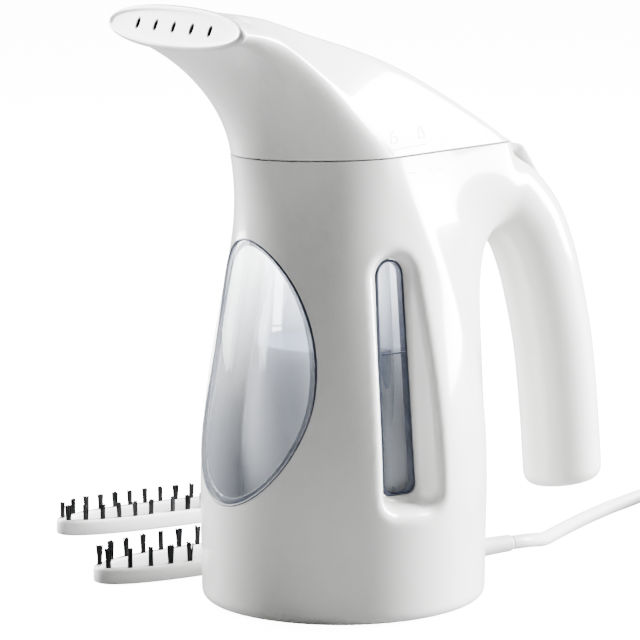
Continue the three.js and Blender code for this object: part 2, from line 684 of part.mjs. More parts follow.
// ---- Brush attachments ----------------------------------------------------------------------------
// Each brush is an oval frame that clips round the nozzle, with tufts planted in an oval strip.
const BRUSHES = [
  { name: "fine", x: -153.5, y: 7.4, turn: -4, half: 13, long: 48, tufts: 26, tall: 7.2 },
  { name: "wide", x: -71.8, y: -25, turn: 0, half: 14.3, long: 47.5, tufts: 22, tall: 8.6 },
];
const FRAME = { bar: 4.6, high: 6.6, strip: 2.2, stripHigh: 0.8, tuftRadius: 0.95 };
function brushOval(half, long, count = 28) {
  return oval(half, 0, -long, long, 2.3, 2.3, (x, y) => new THREE.Vector2(x, y), count);
}
function brushBand(brush, outset, width, low, high) {
  const shape = new THREE.Shape(brushOval(brush.half - outset, brush.long - outset));
  shape.holes.push(new THREE.Path(brushOval(brush.half - outset - width, brush.long - outset - width)));
  const band = new THREE.ExtrudeGeometry(shape, { depth: high - low, bevelEnabled: false });
  return solid(placed(band.translate(0, 0, low), brush.x, brush.y, 0, 0, brush.turn));
}
function tuftPlaces(brush) {
  const inset = FRAME.bar / 2;
  const line = new THREE.SplineCurve([...brushOval(brush.half - inset, brush.long - inset, 64)]);
  line.closed = true;
  return Array.from({ length: brush.tufts }, (_, i) => line.getPointAt((i + 0.25) / (brush.tufts + 0.4)));
}
for (const brush of BRUSHES) {
  piece(brushes, `brush_frame_${brush.name}`, brushBand(brush, 0, FRAME.bar, 0, FRAME.high), MATT_WHITE());
  const low = FRAME.high + GAP;
  const strip = brushBand(brush, (FRAME.bar - FRAME.strip) / 2, FRAME.strip, low, low + FRAME.stripHigh);
  const tufts = tuftPlaces(brush).map((at) => {
    const tuft = new THREE.CylinderGeometry(FRAME.tuftRadius, FRAME.tuftRadius * 0.85, brush.tall, 5);
    tuft.rotateX(Math.PI / 2).translate(at.x, at.y, low + 0.2 + brush.tall / 2);
    return solid(placed(tuft, brush.x, brush.y, 0, 0, brush.turn));
  });
  piece(brushes, `brush_bristles_${brush.name}`, join(strip, ...tufts), BLACK_BRISTLE());
}

export default steamer;
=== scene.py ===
"""Looks of a handheld garment steamer with its water tank, lift-off nozzle head and two brushes.

Sizes are in millimetres in the part's own frame: +Z up, nozzle towards -Y, handle towards +Y.
Meshes are turned into metres where they are made.
"""

import logging
import math
from dataclasses import dataclass
from enum import Enum
from typing import Callable, Iterable, Sequence

import bmesh
import bpy
import numpy as np
from mathutils import Matrix, Vector


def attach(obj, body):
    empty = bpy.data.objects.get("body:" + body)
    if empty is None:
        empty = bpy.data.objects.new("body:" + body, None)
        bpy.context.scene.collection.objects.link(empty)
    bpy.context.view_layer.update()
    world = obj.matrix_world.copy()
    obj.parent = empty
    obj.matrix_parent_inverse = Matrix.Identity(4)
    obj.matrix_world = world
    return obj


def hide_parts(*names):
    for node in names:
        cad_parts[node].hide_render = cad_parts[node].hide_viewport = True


logging.basicConfig(level=logging.INFO, format="%(message)s")
log = logging.getLogger("steamer")

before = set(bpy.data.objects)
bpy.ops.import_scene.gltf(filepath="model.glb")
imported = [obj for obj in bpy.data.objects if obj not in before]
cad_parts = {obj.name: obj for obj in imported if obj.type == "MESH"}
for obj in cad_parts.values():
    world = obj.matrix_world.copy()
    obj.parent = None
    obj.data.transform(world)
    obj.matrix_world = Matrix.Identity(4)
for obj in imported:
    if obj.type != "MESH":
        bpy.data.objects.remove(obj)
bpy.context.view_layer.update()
MM = 0.001

Points = np.ndarray
Faces = list[tuple[int, ...]]
Field = Callable[[np.ndarray], np.ndarray]


class Body(Enum):
    """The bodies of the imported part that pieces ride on."""

    BASE = "base_unit"
    HEAD = "head_unit"
    ROCKER = "rocker"
    FINE_BRUSH = "fine_brush"
    WIDE_BRUSH = "wide_brush"


class Side(Enum):
    """The two flanks of the casing, as the sign of X."""

    RIGHT = 1
    LEFT = -1


# ---- Shader node groups -----------------------------------------------------------------------------


class NodeTree:
    """Adds nodes and links to one node tree."""

    def __init__(self, tree: bpy.types.NodeTree) -> None:
        """Keeps the tree.

        Args:
            tree: the node tree that is filled.
        """
        self.tree = tree

    def add(self, kind: str, inputs: dict | None = None, **settings) -> bpy.types.Node:
        """Adds one node.

        Args:
            kind: Blender's name of the node type.
            inputs: values or output sockets for its input sockets, by name or index.
            **settings: attributes of the node.

        Returns:
            The new node.
        """
        node = self.tree.nodes.new(kind)
        for key, value in settings.items():
            setattr(node, key, value)
        for key, value in (inputs or {}).items():
            if isinstance(value, bpy.types.NodeSocket):
                self.tree.links.new(value, node.inputs[key])
            else:
                node.inputs[key].default_value = value
        return node

    def math(self, operation: str, *values) -> bpy.types.NodeSocket:
        """Adds one maths node and returns its output socket."""
        node = self.add("ShaderNodeMath", operation=operation)
        for socket, value in zip(node.inputs, values):
            if isinstance(value, bpy.types.NodeSocket):
                self.tree.links.new(value, socket)
            else:
                socket.default_value = value
        return node.outputs[0]

    def spread(self, value, low: float, high: float, to_low, to_high) -> bpy.types.NodeSocket:
        """Maps a value between two limits onto a new range and returns the output socket."""
        node = self.add(
            "ShaderNodeMapRange",
            {"Value": value, "From Min": low, "From Max": high, "To Min": to_low, "To Max": to_high},
        )
        return node.outputs["Result"]

    def blend(self, factor, first, second) -> bpy.types.NodeSocket:
        """Mixes two colours by a factor and returns the colour socket."""
        node = self.add("ShaderNodeMix", data_type="RGBA")
        for socket, value in zip((node.inputs[0], node.inputs[6], node.inputs[7]), (factor, first, second)):
            if isinstance(value, bpy.types.NodeSocket):
                self.tree.links.new(value, socket)
            else:
                socket.default_value = value
        return node.outputs[2]


def shader_group(name: str, inputs: dict[str, tuple[str, object]], outputs: dict[str, str]):
    """Makes an empty shader node group with named sockets.

    Args:
        name: the group's name.
        inputs: each input's socket type and starting value.
        outputs: each output's socket type.

    Returns:
        The group, its tree helper, its input node and its output node.
    """
    group = bpy.data.node_groups.new(name, "ShaderNodeTree")
    for label, (kind, value) in inputs.items():
        socket = group.interface.new_socket(label, in_out="INPUT", socket_type=kind)
        if value is not None:
            socket.default_value = value
    for label, kind in outputs.items():
        group.interface.new_socket(label, in_out="OUTPUT", socket_type=kind)
    tree = NodeTree(group)
    return group, tree, tree.add("NodeGroupInput"), tree.add("NodeGroupOutput")


FLOAT = "NodeSocketFloat"
COLOUR = "NodeSocketColor"
VECTOR = "NodeSocketVector"
BLACK = (0.0, 0.0, 0.0, 1.0)


def moulded_skin_group() -> bpy.types.NodeTree:
    """Tone, gloss and fine grain of a moulded plastic skin.

    Returns:
        The node group.
    """
    group, tree, source, sink = shader_group(
        "moulded_skin",
        {
            "Place": (VECTOR, None),
            "Tone": (COLOUR, BLACK),
            "Shade": (COLOUR, BLACK),
            "Roughness": (FLOAT, 0.3),
            "Gloss Spread": (FLOAT, 0.05),
            "Flow Size": (FLOAT, 18.0),
            "Grain Size": (FLOAT, 1400.0),
        },
        {"Colour": COLOUR, "Roughness": FLOAT, "Height": FLOAT},
    )
    place = source.outputs["Place"]
    flow = tree.add(
        "ShaderNodeTexNoise",
        {"Vector": place, "Scale": source.outputs["Flow Size"], "Detail": 3.0, "Roughness": 0.45},
    )
    grain = tree.add(
        "ShaderNodeTexNoise",
        {"Vector": place, "Scale": source.outputs["Grain Size"], "Detail": 2.0, "Roughness": 0.6},
    )
    wave = tree.spread(flow.outputs["Fac"], 0.35, 0.65, 0.0, 1.0)
    colour = tree.blend(wave, source.outputs["Tone"], source.outputs["Shade"])
    swing = tree.math("MULTIPLY", tree.math("SUBTRACT", wave, 0.5), source.outputs["Gloss Spread"])
    rough = tree.math("ADD", source.outputs["Roughness"], swing)
    height = tree.math("ADD", tree.math("MULTIPLY", grain.outputs["Fac"], 0.8), tree.math("MULTIPLY", wave, 0.2))
    group.links.new(colour, sink.inputs["Colour"])
    group.links.new(rough, sink.inputs["Roughness"])
    group.links.new(height, sink.inputs["Height"])
    return group


def drawn_metal_group() -> bpy.types.NodeTree:
    """Fine streaks of a drawn, turned or rolled metal surface.

    Returns:
        The node group.
    """
    group, tree, source, sink = shader_group(
        "drawn_metal",
        {
            "Place": (VECTOR, None),
            "Tone": (COLOUR, BLACK),
            "Shade": (COLOUR, BLACK),
            "Roughness": (FLOAT, 0.3),
            "Streak Size": (FLOAT, 300.0),
        },
        {"Colour": COLOUR, "Roughness": FLOAT, "Height": FLOAT},
    )
    squeeze = tree.add("ShaderNodeMapping", {"Vector": source.outputs["Place"], "Scale": (1.0, 1.0, 0.06)})
    streak = tree.add(
        "ShaderNodeTexNoise",
        {"Vector": squeeze.outputs[0], "Scale": source.outputs["Streak Size"], "Detail": 4.0, "Roughness": 0.7},
    )
    stain = tree.add("ShaderNodeTexNoise", {"Vector": source.outputs["Place"], "Scale": 60.0, "Detail": 2.0})
    colour = tree.blend(
        tree.spread(stain.outputs["Fac"], 0.4, 0.7, 0.0, 1.0), source.outputs["Tone"], source.outputs["Shade"]
    )
    rough = tree.math("ADD", source.outputs["Roughness"], tree.spread(streak.outputs["Fac"], 0.3, 0.7, -0.06, 0.1))
    group.links.new(colour, sink.inputs["Colour"])
    group.links.new(rough, sink.inputs["Roughness"])
    group.links.new(streak.outputs["Fac"], sink.inputs["Height"])
    return group


# ---- Finishes -----------------------------------------------------------------------------------------

Tone = tuple[float, float, float]


def rgba(tone: Tone) -> tuple[float, float, float, float]:
    """A tone with full opacity."""
    return (*tone, 1.0)


@dataclass(frozen=True)
class Finish:
    """What every finish has: its name and a slot name."""

    name: str
    slot: str

    def material(self) -> bpy.types.Material:
        """Builds the material once and returns it."""
        known = bpy.data.materials.get(self.name)
        if known is not None:
            return known
        made = bpy.data.materials.new(self.name)
        made.use_nodes = True
        made.node_tree.nodes.clear()
        tree = NodeTree(made.node_tree)
        output = tree.add("ShaderNodeOutputMaterial")
        shader = tree.add("ShaderNodeBsdfPrincipled")
        made.node_tree.links.new(shader.outputs[0], output.inputs["Surface"])
        place = tree.add("ShaderNodeTexCoord").outputs["Object"]
        self.dress(tree, shader, place)
        return made

    def dress(self, tree: NodeTree, shader: bpy.types.Node, place: bpy.types.NodeSocket) -> None:
        """Fills the material. Each kind of finish has its own way."""
        raise NotImplementedError

    @staticmethod
    def bump(tree: NodeTree, shader: bpy.types.Node, height: bpy.types.NodeSocket, depth: float) -> None:
        """Feeds a height, whose full depth is in millimetres, to the shader's normal."""
        node = tree.add("ShaderNodeBump", {"Height": height, "Strength": 1.0, "Distance": depth * MM})
        tree.tree.links.new(node.outputs[0], shader.inputs["Normal"])


@dataclass(frozen=True)
class Plastic(Finish):
    """Moulded plastic or rubber: tone, gloss, and grain of a size and depth in millimetres."""

    tone: Tone = (0.8, 0.8, 0.8)
    shade: Tone = (0.78, 0.78, 0.78)
    roughness: float = 0.3
    spread: float = 0.04
    grain: float = 0.7
    depth: float = 0.004
    coat: float = 0.0
    specular: float = 0.5
    glow: float = 0.0

    def dress(self, tree: NodeTree, shader: bpy.types.Node, place: bpy.types.NodeSocket) -> None:
        """Skin from the shared group, with an optional clear top layer."""
        skin = tree.add(
            "ShaderNodeGroup",
            node_tree=GROUPS["skin"],
        )
        tree.tree.links.new(place, skin.inputs["Place"])
        skin.inputs["Tone"].default_value = rgba(self.tone)
        skin.inputs["Shade"].default_value = rgba(self.shade)
        skin.inputs["Roughness"].default_value = self.roughness
        skin.inputs["Gloss Spread"].default_value = self.spread
        skin.inputs["Grain Size"].default_value = 1.0 / (self.grain * MM)
        tree.tree.links.new(skin.outputs["Colour"], shader.inputs["Base Color"])
        tree.tree.links.new(skin.outputs["Roughness"], shader.inputs["Roughness"])
        shader.inputs["Coat Weight"].default_value = self.coat
        shader.inputs["Coat Roughness"].default_value = 0.04
        shader.inputs["Specular IOR Level"].default_value = self.specular
        self.bump(tree, shader, skin.outputs["Height"], self.depth)


@dataclass(frozen=True)
class Metal(Finish):
    """Drawn, turned or cast metal."""

    tone: Tone = (0.6, 0.6, 0.6)
    shade: Tone = (0.5, 0.5, 0.5)
    roughness: float = 0.3
    streak: float = 3.0
    depth: float = 0.003

    def dress(self, tree: NodeTree, shader: bpy.types.Node, place: bpy.types.NodeSocket) -> None:
        """Streaks from the shared group on a plain metal."""
        skin = tree.add("ShaderNodeGroup", node_tree=GROUPS["metal"])
        tree.tree.links.new(place, skin.inputs["Place"])
        skin.inputs["Tone"].default_value = rgba(self.tone)
        skin.inputs["Shade"].default_value = rgba(self.shade)
        skin.inputs["Roughness"].default_value = self.roughness
        skin.inputs["Streak Size"].default_value = 1.0 / (self.streak * MM)
        tree.tree.links.new(skin.outputs["Colour"], shader.inputs["Base Color"])
        tree.tree.links.new(skin.outputs["Roughness"], shader.inputs["Roughness"])
        shader.inputs["Metallic"].default_value = 1.0
        self.bump(tree, shader, skin.outputs["Height"], self.depth)


@dataclass(frozen=True)
class Clear(Finish):
    """Clear or smoked plastic, or water: thin to look through face on and denser at a slant."""

    face: Tone = (0.8, 0.85, 0.9)
    slant: Tone = (0.2, 0.23, 0.32)
    through: float = 0.2
    edge: float = 0.9
    bend: float = 0.5
    roughness: float = 0.03

    def dress(self, tree: NodeTree, shader: bpy.types.Node, place: bpy.types.NodeSocket) -> None:
        """Colour and opacity rise with the slant, and a faint flow mark moves the gloss."""
        slant = tree.add("ShaderNodeLayerWeight", {"Blend": self.bend}).outputs["Facing"]
        flow = tree.add("ShaderNodeTexNoise", {"Vector": place, "Scale": 30.0, "Detail": 2.0})
        tinge = tree.math("MULTIPLY_ADD", tree.math("SUBTRACT", flow.outputs["Fac"], 0.5), 0.12, slant)
        tree.tree.links.new(tree.blend(tinge, rgba(self.face), rgba(self.slant)), shader.inputs["Base Color"])
        opacity = tree.spread(slant, 0.0, 1.0, self.through, self.edge)
        tree.tree.links.new(opacity, shader.inputs["Alpha"])
        rough = tree.spread(flow.outputs["Fac"], 0.3, 0.7, self.roughness, self.roughness + 0.02)
        tree.tree.links.new(rough, shader.inputs["Roughness"])
        shader.inputs["Specular IOR Level"].default_value = 0.8
        self.bump(tree, shader, flow.outputs["Fac"], 0.01)


GROUPS = {"skin": moulded_skin_group(), "metal": drawn_metal_group()}

CASING = Plastic(
    "casing_white_gloss", "casing_white", (0.84, 0.84, 0.825), (0.82, 0.82, 0.806), 0.2, 0.03, 1.1, 0.0012, 0.5
)
SWITCH = Plastic("switch_white_gloss", "switch_white", (0.8, 0.8, 0.79), (0.77, 0.77, 0.76), 0.28, 0.05, 0.6, 0.004)
MATT = Plastic("inner_white_matt", "matt_white", (0.78, 0.78, 0.77), (0.74, 0.74, 0.73), 0.42, 0.08, 0.5, 0.01)
BRUSH_WHITE = Plastic(
    "brush_white_satin", "brush_white", (0.82, 0.82, 0.81), (0.79, 0.79, 0.78), 0.3, 0.05, 0.6, 0.005
)
MARK = Plastic("mark_grey_print", "casing_white", (0.42, 0.42, 0.43), (0.38, 0.38, 0.39), 0.35, 0.05, 0.4, 0.003)
RUBBER = Plastic("seal_grey_rubber", "grey_rubber", (0.22, 0.22, 0.23), (0.18, 0.18, 0.19), 0.6, 0.1, 0.35, 0.02)
RELIEF = Plastic("relief_white_rubber", "cord_relief", (0.72, 0.72, 0.72), (0.67, 0.67, 0.67), 0.45, 0.08, 0.4, 0.01)
JACKET = Plastic("cord_white_jacket", "cord_jacket", (0.74, 0.745, 0.76), (0.7, 0.705, 0.72), 0.34, 0.06, 0.5, 0.008)
PLUG = Plastic("plug_white_moulding", "plug_white", (0.78, 0.78, 0.77), (0.75, 0.75, 0.74), 0.36, 0.06, 0.45, 0.012)
SEAL = Plastic("window_seal_navy", "dark_seal", (0.035, 0.045, 0.075), (0.02, 0.026, 0.05), 0.3, 0.08, 0.5, 0.006)
BLACK_PLASTIC = Plastic(
    "block_black_plastic", "black_plastic", (0.02, 0.02, 0.022), (0.03, 0.03, 0.032), 0.45, 0.1, 0.5, 0.01
)
GREY_PLASTIC = Plastic(
    "clamp_grey_plastic", "grey_plastic", (0.4, 0.4, 0.41), (0.35, 0.35, 0.36), 0.45, 0.1, 0.5, 0.01
)
BRISTLE = Plastic(
    "bristle_black_nylon", "bristle_black", (0.004, 0.004, 0.005), (0.008, 0.008, 0.009), 0.5, 0.1, 0.3, 0.01, 0.0, 0.15
)
WIRE_BROWN = Plastic("wire_brown_sleeve", "wire_brown", (0.16, 0.06, 0.025), (0.13, 0.05, 0.02), 0.4, 0.1, 0.5, 0.01)
WIRE_BLUE = Plastic("wire_blue_sleeve", "wire_blue", (0.03, 0.09, 0.32), (0.025, 0.07, 0.26), 0.4, 0.1, 0.5, 0.01)
WIRE_HEAT = Plastic(
    "wire_heatproof_braid", "wire_heatproof", (0.55, 0.5, 0.38), (0.42, 0.38, 0.28), 0.7, 0.1, 0.35, 0.06
)
STEEL = Metal("screw_zinc_steel", "screw_steel", (0.62, 0.63, 0.65), (0.5, 0.51, 0.54), 0.28, 2.0)
ELEMENT = Metal("element_steel_sheath", "element_steel", (0.45, 0.42, 0.38), (0.3, 0.27, 0.25), 0.38, 4.0)
CAST = Metal("plate_cast_aluminium", "cast_aluminium", (0.6, 0.61, 0.62), (0.48, 0.49, 0.5), 0.45, 1.2, 0.02)
FUSE = Metal("fuse_tinned_case", "fuse_metal", (0.7, 0.6, 0.42), (0.55, 0.46, 0.3), 0.34, 2.0)
BRASS = Metal("pin_plated_brass", "plug_brass", (0.78, 0.6, 0.32), (0.66, 0.5, 0.26), 0.26, 3.0)
SMOKED = Clear("pane_smoked", "smoked_window", (0.4, 0.44, 0.52), (0.1, 0.12, 0.18), 0.03, 0.75, 0.2)
RIM = Clear("pane_rim_smoked", "smoked_window", (0.12, 0.14, 0.2), (0.03, 0.04, 0.08), 0.4, 0.95, 0.4)
GAUGE_PANE = Clear("gauge_pane_clear", "clear_window", (0.4, 0.44, 0.5), (0.1, 0.12, 0.18), 0.02, 0.7, 0.2)
TUBE = Clear("sight_tube_clear", "clear_window", (0.6, 0.65, 0.74), (0.04, 0.05, 0.1), 0.12, 0.95, 0.42)
TANK = Clear("tank_clear", "tank_clear", (0.7, 0.73, 0.78), (0.3, 0.34, 0.42), 0.01, 0.4, 0.12)
WATER = Clear("water_blue_grey", "tank_clear", (0.23, 0.262, 0.36), (0.03, 0.04, 0.09), 0.9, 0.98, 0.45)
GAUGE_WATER = Clear("gauge_water_navy", "tank_clear", (0.22, 0.26, 0.36), (0.004, 0.007, 0.02), 0.92, 1.0, 0.6)

CAD_FINISHES: dict[str, Finish] = {
    "boiler_column": MATT,
    "heating_element": ELEMENT,
    "heater_plate": CAST,
    "thermostat": BLACK_PLASTIC,
    "thermal_fuse": FUSE,
    "neck_deck": MATT,
    "base_plate": MATT,
    "terminal_block": BLACK_PLASTIC,
    "cord_clamp": GREY_PLASTIC,
    "switch_housing": BLACK_PLASTIC,
    "switch_wire_live": WIRE_BROWN,
    "switch_wire_return": WIRE_BLUE,
    "heater_wire_live": WIRE_HEAT,
    "heater_wire_return": WIRE_HEAT,
    "head_collar": MATT,
    "neck_seal": RUBBER,
    "nozzle_gasket": RUBBER,
    # painted shade: the steam duct is black so that the inside of the nozzle slots reads dark
    "steam_duct": BLACK_PLASTIC,
    "spit_baffle": CAST,
    "coil_tie": BLACK_PLASTIC,
    "plug_pin_1": BRASS,
    "plug_pin_2": BRASS,
}


# ---- Mesh helpers -------------------------------------------------------------------------------------


def mesh_object(name: str, points: Points, faces: Faces, sharp: float = 35.0) -> bpy.types.Object:
    """Makes a smooth-shaded object from points in millimetres.

    Args:
        name: the object's name.
        points: one row for each vertex, in millimetres.
        faces: vertex numbers of each face, outside seen anticlockwise.
        sharp: edges that turn by more than these degrees are left sharp.

    Returns:
        The linked object at the origin.
    """
    mesh = bpy.data.meshes.new(name)
    mesh.from_pydata((np.asarray(points, float) * MM).tolist(), [], [tuple(f) for f in faces])
    mesh.validate()
    obj = bpy.data.objects.new(name, mesh)
    bpy.context.scene.collection.objects.link(obj)
    face_out(obj)
    shade(obj, sharp)
    return obj


def face_out(obj: bpy.types.Object) -> None:
    """Turns the faces of a closed mesh so that its volume is positive."""
    bm = bmesh.new()
    bm.from_mesh(obj.data)
    if bm.calc_volume(signed=True) < 0:
        bmesh.ops.reverse_faces(bm, faces=bm.faces)
    bm.to_mesh(obj.data)
    bm.free()


def shade(obj: bpy.types.Object, sharp: float = 35.0) -> None:
    """Smooth shading with sharp edges over an angle in degrees."""
    obj.data.shade_smooth()
    obj.data.set_sharp_from_angle(angle=math.radians(sharp))


def settle(obj: bpy.types.Object) -> bpy.types.Object:
    """Turns an object with modifiers into its plain final mesh."""
    graph = bpy.context.evaluated_depsgraph_get()
    mesh = bpy.data.meshes.new_from_object(obj.evaluated_get(graph))
    old = obj.data
    obj.modifiers.clear()
    obj.data = mesh
    mesh.name = obj.name
    if old.users == 0:
        bpy.data.meshes.remove(old)
    return obj


def carve(obj: bpy.types.Object, tool: bpy.types.Object, sharp: float = 35.0) -> bpy.types.Object:
    """Cuts a tool out of an object and removes the tool.

    Args:
        obj: the closed mesh that is cut.
        tool: the closed mesh that cuts.
        sharp: edges that turn by more than these degrees are left sharp.

    Returns:
        The same object with its new mesh.
    """
    cut = obj.modifiers.new("cut", "BOOLEAN")
    cut.operation = "DIFFERENCE"
    cut.solver = "MANIFOLD"
    cut.object = tool
    before = len(obj.data.polygons)
    settle(obj)
    if len(obj.data.polygons) in (0, before):
        log.warning("cut of %s by %s changed nothing", obj.name, tool.name)
    discard(tool)
    shade(obj, sharp)
    return obj


def discard(obj: bpy.types.Object) -> None:
    """Removes an object that was only a tool."""
    bpy.data.objects.remove(obj, do_unlink=True)


def rounded(obj: bpy.types.Object, width: float, segments: int = 3, angle: float = 40.0) -> bpy.types.Object:
    """Bevels the sharp edges of an object by a width in millimetres and settles it."""
    bevel = obj.modifiers.new("edge", "BEVEL")
    bevel.width = width * MM
    bevel.segments = segments
    bevel.limit_method = "ANGLE"
    bevel.angle_limit = math.radians(angle)
    bevel.harden_normals = False
    settle(obj)
    shade(obj, 60.0)
    return obj


def loft(rings: Sequence[Points], closed: bool = False) -> tuple[Points, Faces]:
    """Faces through rings of equal count, capped at both ends unless the rings close on themselves.

    Args:
        rings: each ring's points, in order.
        closed: whether the last ring joins the first.

    Returns:
        All points and faces.
    """
    count = len(rings[0])
    points = np.concatenate([np.asarray(r, float) for r in rings])
    faces: Faces = []
    total = len(rings)
    for r in range(total if closed else total - 1):
        a, b = r * count, ((r + 1) % total) * count
        for i in range(count):
            j = (i + 1) % count
            faces.append((a + i, a + j, b + j, b + i))
    if not closed:
        middles = [np.mean(rings[0], axis=0), np.mean(rings[-1], axis=0)]
        points = np.concatenate([points, middles])
        low, high = total * count, total * count + 1
        for i in range(count):
            j = (i + 1) % count
            faces.append((j, i, low))
            faces.append(((total - 1) * count + i, (total - 1) * count + j, high))
    return points, faces


def superoval(half: float, tall: float, power: float = 2.0, count: int = 96) -> Points:
    """Points of a closed superellipse in a plane, as two columns."""
    angle = np.linspace(0, 2 * math.pi, count, endpoint=False)
    c, s = np.cos(angle), np.sin(angle)
    across = np.sign(c) * half * np.abs(c) ** (2 / power)
    up = np.sign(s) * tall * np.abs(s) ** (2 / power)
    return np.stack([across, up], axis=1)


def tube(line: Points, radius: float | np.ndarray, sides: int = 16, closed: bool = False) -> tuple[Points, Faces]:
    """A round tube along a line of points, with a radius that may change along it.

    Args:
        line: centre points.
        radius: one radius, or one for each centre point.
        sides: points round the tube.
        closed: whether the line is a loop.

    Returns:
        All points and faces.
    """
    line = np.asarray(line, float)
    reach = np.broadcast_to(np.asarray(radius, float), len(line))
    if closed:
        along = np.roll(line, -1, axis=0) - np.roll(line, 1, axis=0)
    else:
        along = np.gradient(line, axis=0)
    along /= np.linalg.norm(along, axis=1, keepdims=True)
    side = np.cross(along[0], (0.0, 0.0, 1.0))
    if np.linalg.norm(side) < 1e-3:
        side = np.cross(along[0], (0.0, 1.0, 0.0))
    rings = []
    turn = np.linspace(0, 2 * math.pi, sides, endpoint=False)
    for centre, axis, r in zip(line, along, reach):
        side = side - axis * (side @ axis)
        side /= np.linalg.norm(side)
        up = np.cross(axis, side)
        rings.append(centre + r * (np.cos(turn)[:, None] * side + np.sin(turn)[:, None] * up))
    return loft(rings, closed)


def smooth_curve(points: Sequence[Sequence[float]], step: float) -> Points:
    """A dense Catmull-Rom line through points, with about the given step."""
    knots = np.asarray(points, float)
    ends = np.concatenate([[2 * knots[0] - knots[1]], knots, [2 * knots[-1] - knots[-2]]])
    line = []
    for i in range(len(knots) - 1):
        p0, p1, p2, p3 = ends[i : i + 4]
        count = max(2, round(float(np.linalg.norm(p2 - p1)) / step))
        for t in np.arange(count) / count:
            bend = 2 * p0 - 5 * p1 + 4 * p2 - p3
            twist = 3 * p1 - p0 - 3 * p2 + p3
            line.append(0.5 * (2 * p1 + (p2 - p0) * t + bend * t**2 + twist * t**3))
    line.append(knots[-1])
    return np.asarray(line)


def smoothed(values: np.ndarray, spread: float, axis: int) -> np.ndarray:
    """Values blurred along an axis by a bell of the given spread in samples, ends held."""
    reach = int(3 * spread) + 1
    bell = np.exp(-0.5 * (np.arange(-reach, reach + 1) / spread) ** 2)
    bell /= bell.sum()
    width = [(0, 0)] * values.ndim
    width[axis] = (reach, reach)
    padded = np.pad(values, width, mode="reflect", reflect_type="odd" if values.ndim == 1 else "even")
    return np.apply_along_axis(lambda row: np.convolve(row, bell, mode="valid"), axis, padded)


def soft_max(a: np.ndarray, b: np.ndarray, blend: float) -> np.ndarray:
    """The larger of two fields, rounded where they meet over a blend length."""
    gap = np.maximum(blend - np.abs(a - b), 0.0) / blend
    return np.maximum(a, b) + gap * gap * blend * 0.25


def soft_min(a: np.ndarray, b: np.ndarray, blend: float) -> np.ndarray:
    """The smaller of two fields, filleted where they meet over a blend length."""
    return -soft_max(-a, -b, blend)


def gradient(field: Field, at: Points, step: float = 0.05) -> Points:
    """Gradient of a field at points by central differences."""
    parts = []
    for axis in np.eye(3):
        parts.append((field(at + axis * step) - field(at - axis * step)) / (2 * step))
    return np.stack(parts, axis=1)


CELL_CORNERS = [(i, j, k) for i in (0, 1) for j in (0, 1) for k in (0, 1)]


def surface_net(field: Field, low: Sequence[float], high: Sequence[float], cell: float) -> tuple[Points, Faces]:
    """The closed surface where a field is nought, as quads drawn tight onto it.

    Args:
        field: negative inside, in millimetres.
        low: lowest corner of the searched box.
        high: highest corner of the searched box.
        cell: size of the cells.

    Returns:
        Points and quads.
    """
    axes = [np.arange(a, b + cell, cell) for a, b in zip(low, high)]
    shape = tuple(len(a) for a in axes)
    values = np.empty(shape)
    yy, zz = np.meshgrid(axes[1], axes[2], indexing="ij")
    for i, x in enumerate(axes[0]):
        at = np.stack([np.full(yy.size, x), yy.ravel(), zz.ravel()], axis=1)
        values[i] = field(at).reshape(yy.shape)
    inside = values < 0
    inner = tuple(n - 1 for n in shape)
    count = np.zeros(inner, int)
    for i, j, k in CELL_CORNERS:
        count += inside[i : i + inner[0], j : j + inner[1], k : k + inner[2]]
    mixed = (count > 0) & (count < 8)
    where = np.argwhere(mixed)
    number = np.full(inner, -1)
    number[mixed] = np.arange(len(where))
    total = np.zeros((len(where), 3))
    hits = np.zeros(len(where))
    for a in CELL_CORNERS:
        for axis in range(3):
            if a[axis]:
                continue
            b = list(a)
            b[axis] = 1
            first = values[tuple((where + a).T)]
            second = values[tuple((where + b).T)]
            crossing = (first < 0) != (second < 0)
            share = np.where(crossing, first / np.where(first == second, 1.0, first - second), 0.0)
            spot = where + np.asarray(a, float)
            spot[:, axis] += share
            total += np.where(crossing[:, None], spot, 0.0)
            hits += crossing
    points = total / hits[:, None] * cell + np.array([a[0] for a in axes])
    faces: Faces = []
    for axis in range(3):
        u, v = (axis + 1) % 3, (axis + 2) % 3
        cut = [slice(None)] * 3
        cut[axis] = slice(0, -1)
        nxt = list(cut)
        nxt[axis] = slice(1, None)
        here, there = inside[tuple(cut)], inside[tuple(nxt)]
        edges = np.argwhere(here != there)
        edges = edges[(edges[:, u] > 0) & (edges[:, v] > 0)]
        edges = edges[(edges[:, u] < inner[u]) & (edges[:, v] < inner[v])]
        out = here[tuple(edges.T)]
        quad = []
        for du, dv in ((-1, -1), (0, -1), (0, 0), (-1, 0)):
            spot = edges.copy()
            spot[:, u] += du
            spot[:, v] += dv
            quad.append(number[tuple(spot.T)])
        quad = np.stack(quad, axis=1)
        quad[~out] = quad[~out][:, ::-1]
        faces.extend(map(tuple, quad.tolist()))
    for _ in range(3):
        slope = gradient(field, points)
        size = np.maximum((slope**2).sum(axis=1), 0.05)
        move = slope * (field(points) / size)[:, None]
        length = np.linalg.norm(move, axis=1, keepdims=True)
        points = points - move * np.minimum(1.0, 0.4 * cell / np.maximum(length, 1e-9))
    return points, faces


# ---- Casing forms ---------------------------------------------------------------------------------------


@dataclass(frozen=True)
class Section:
    """One cross-section of the casing: round in front, a soft ridge each side, flat flanks to the tail."""

    at: float
    half: float
    middle: float
    front: float
    back: float
    ridge: float
    tail: float


RIDGE_SOFTNESS = 3.4  # degrees over which a ridge is rounded
DIRECTIONS = 361  # samples from the front line to the tail line


def outline(share: np.ndarray, sections: Sequence[Section]) -> dict[str, np.ndarray]:
    """Section sizes at each place along a form, smooth between the given sections."""
    at = [s.at for s in sections]
    return {
        key: np.interp(share, at, [getattr(s, key) for s in sections])
        for key in ("half", "middle", "front", "back", "ridge", "tail")
    }


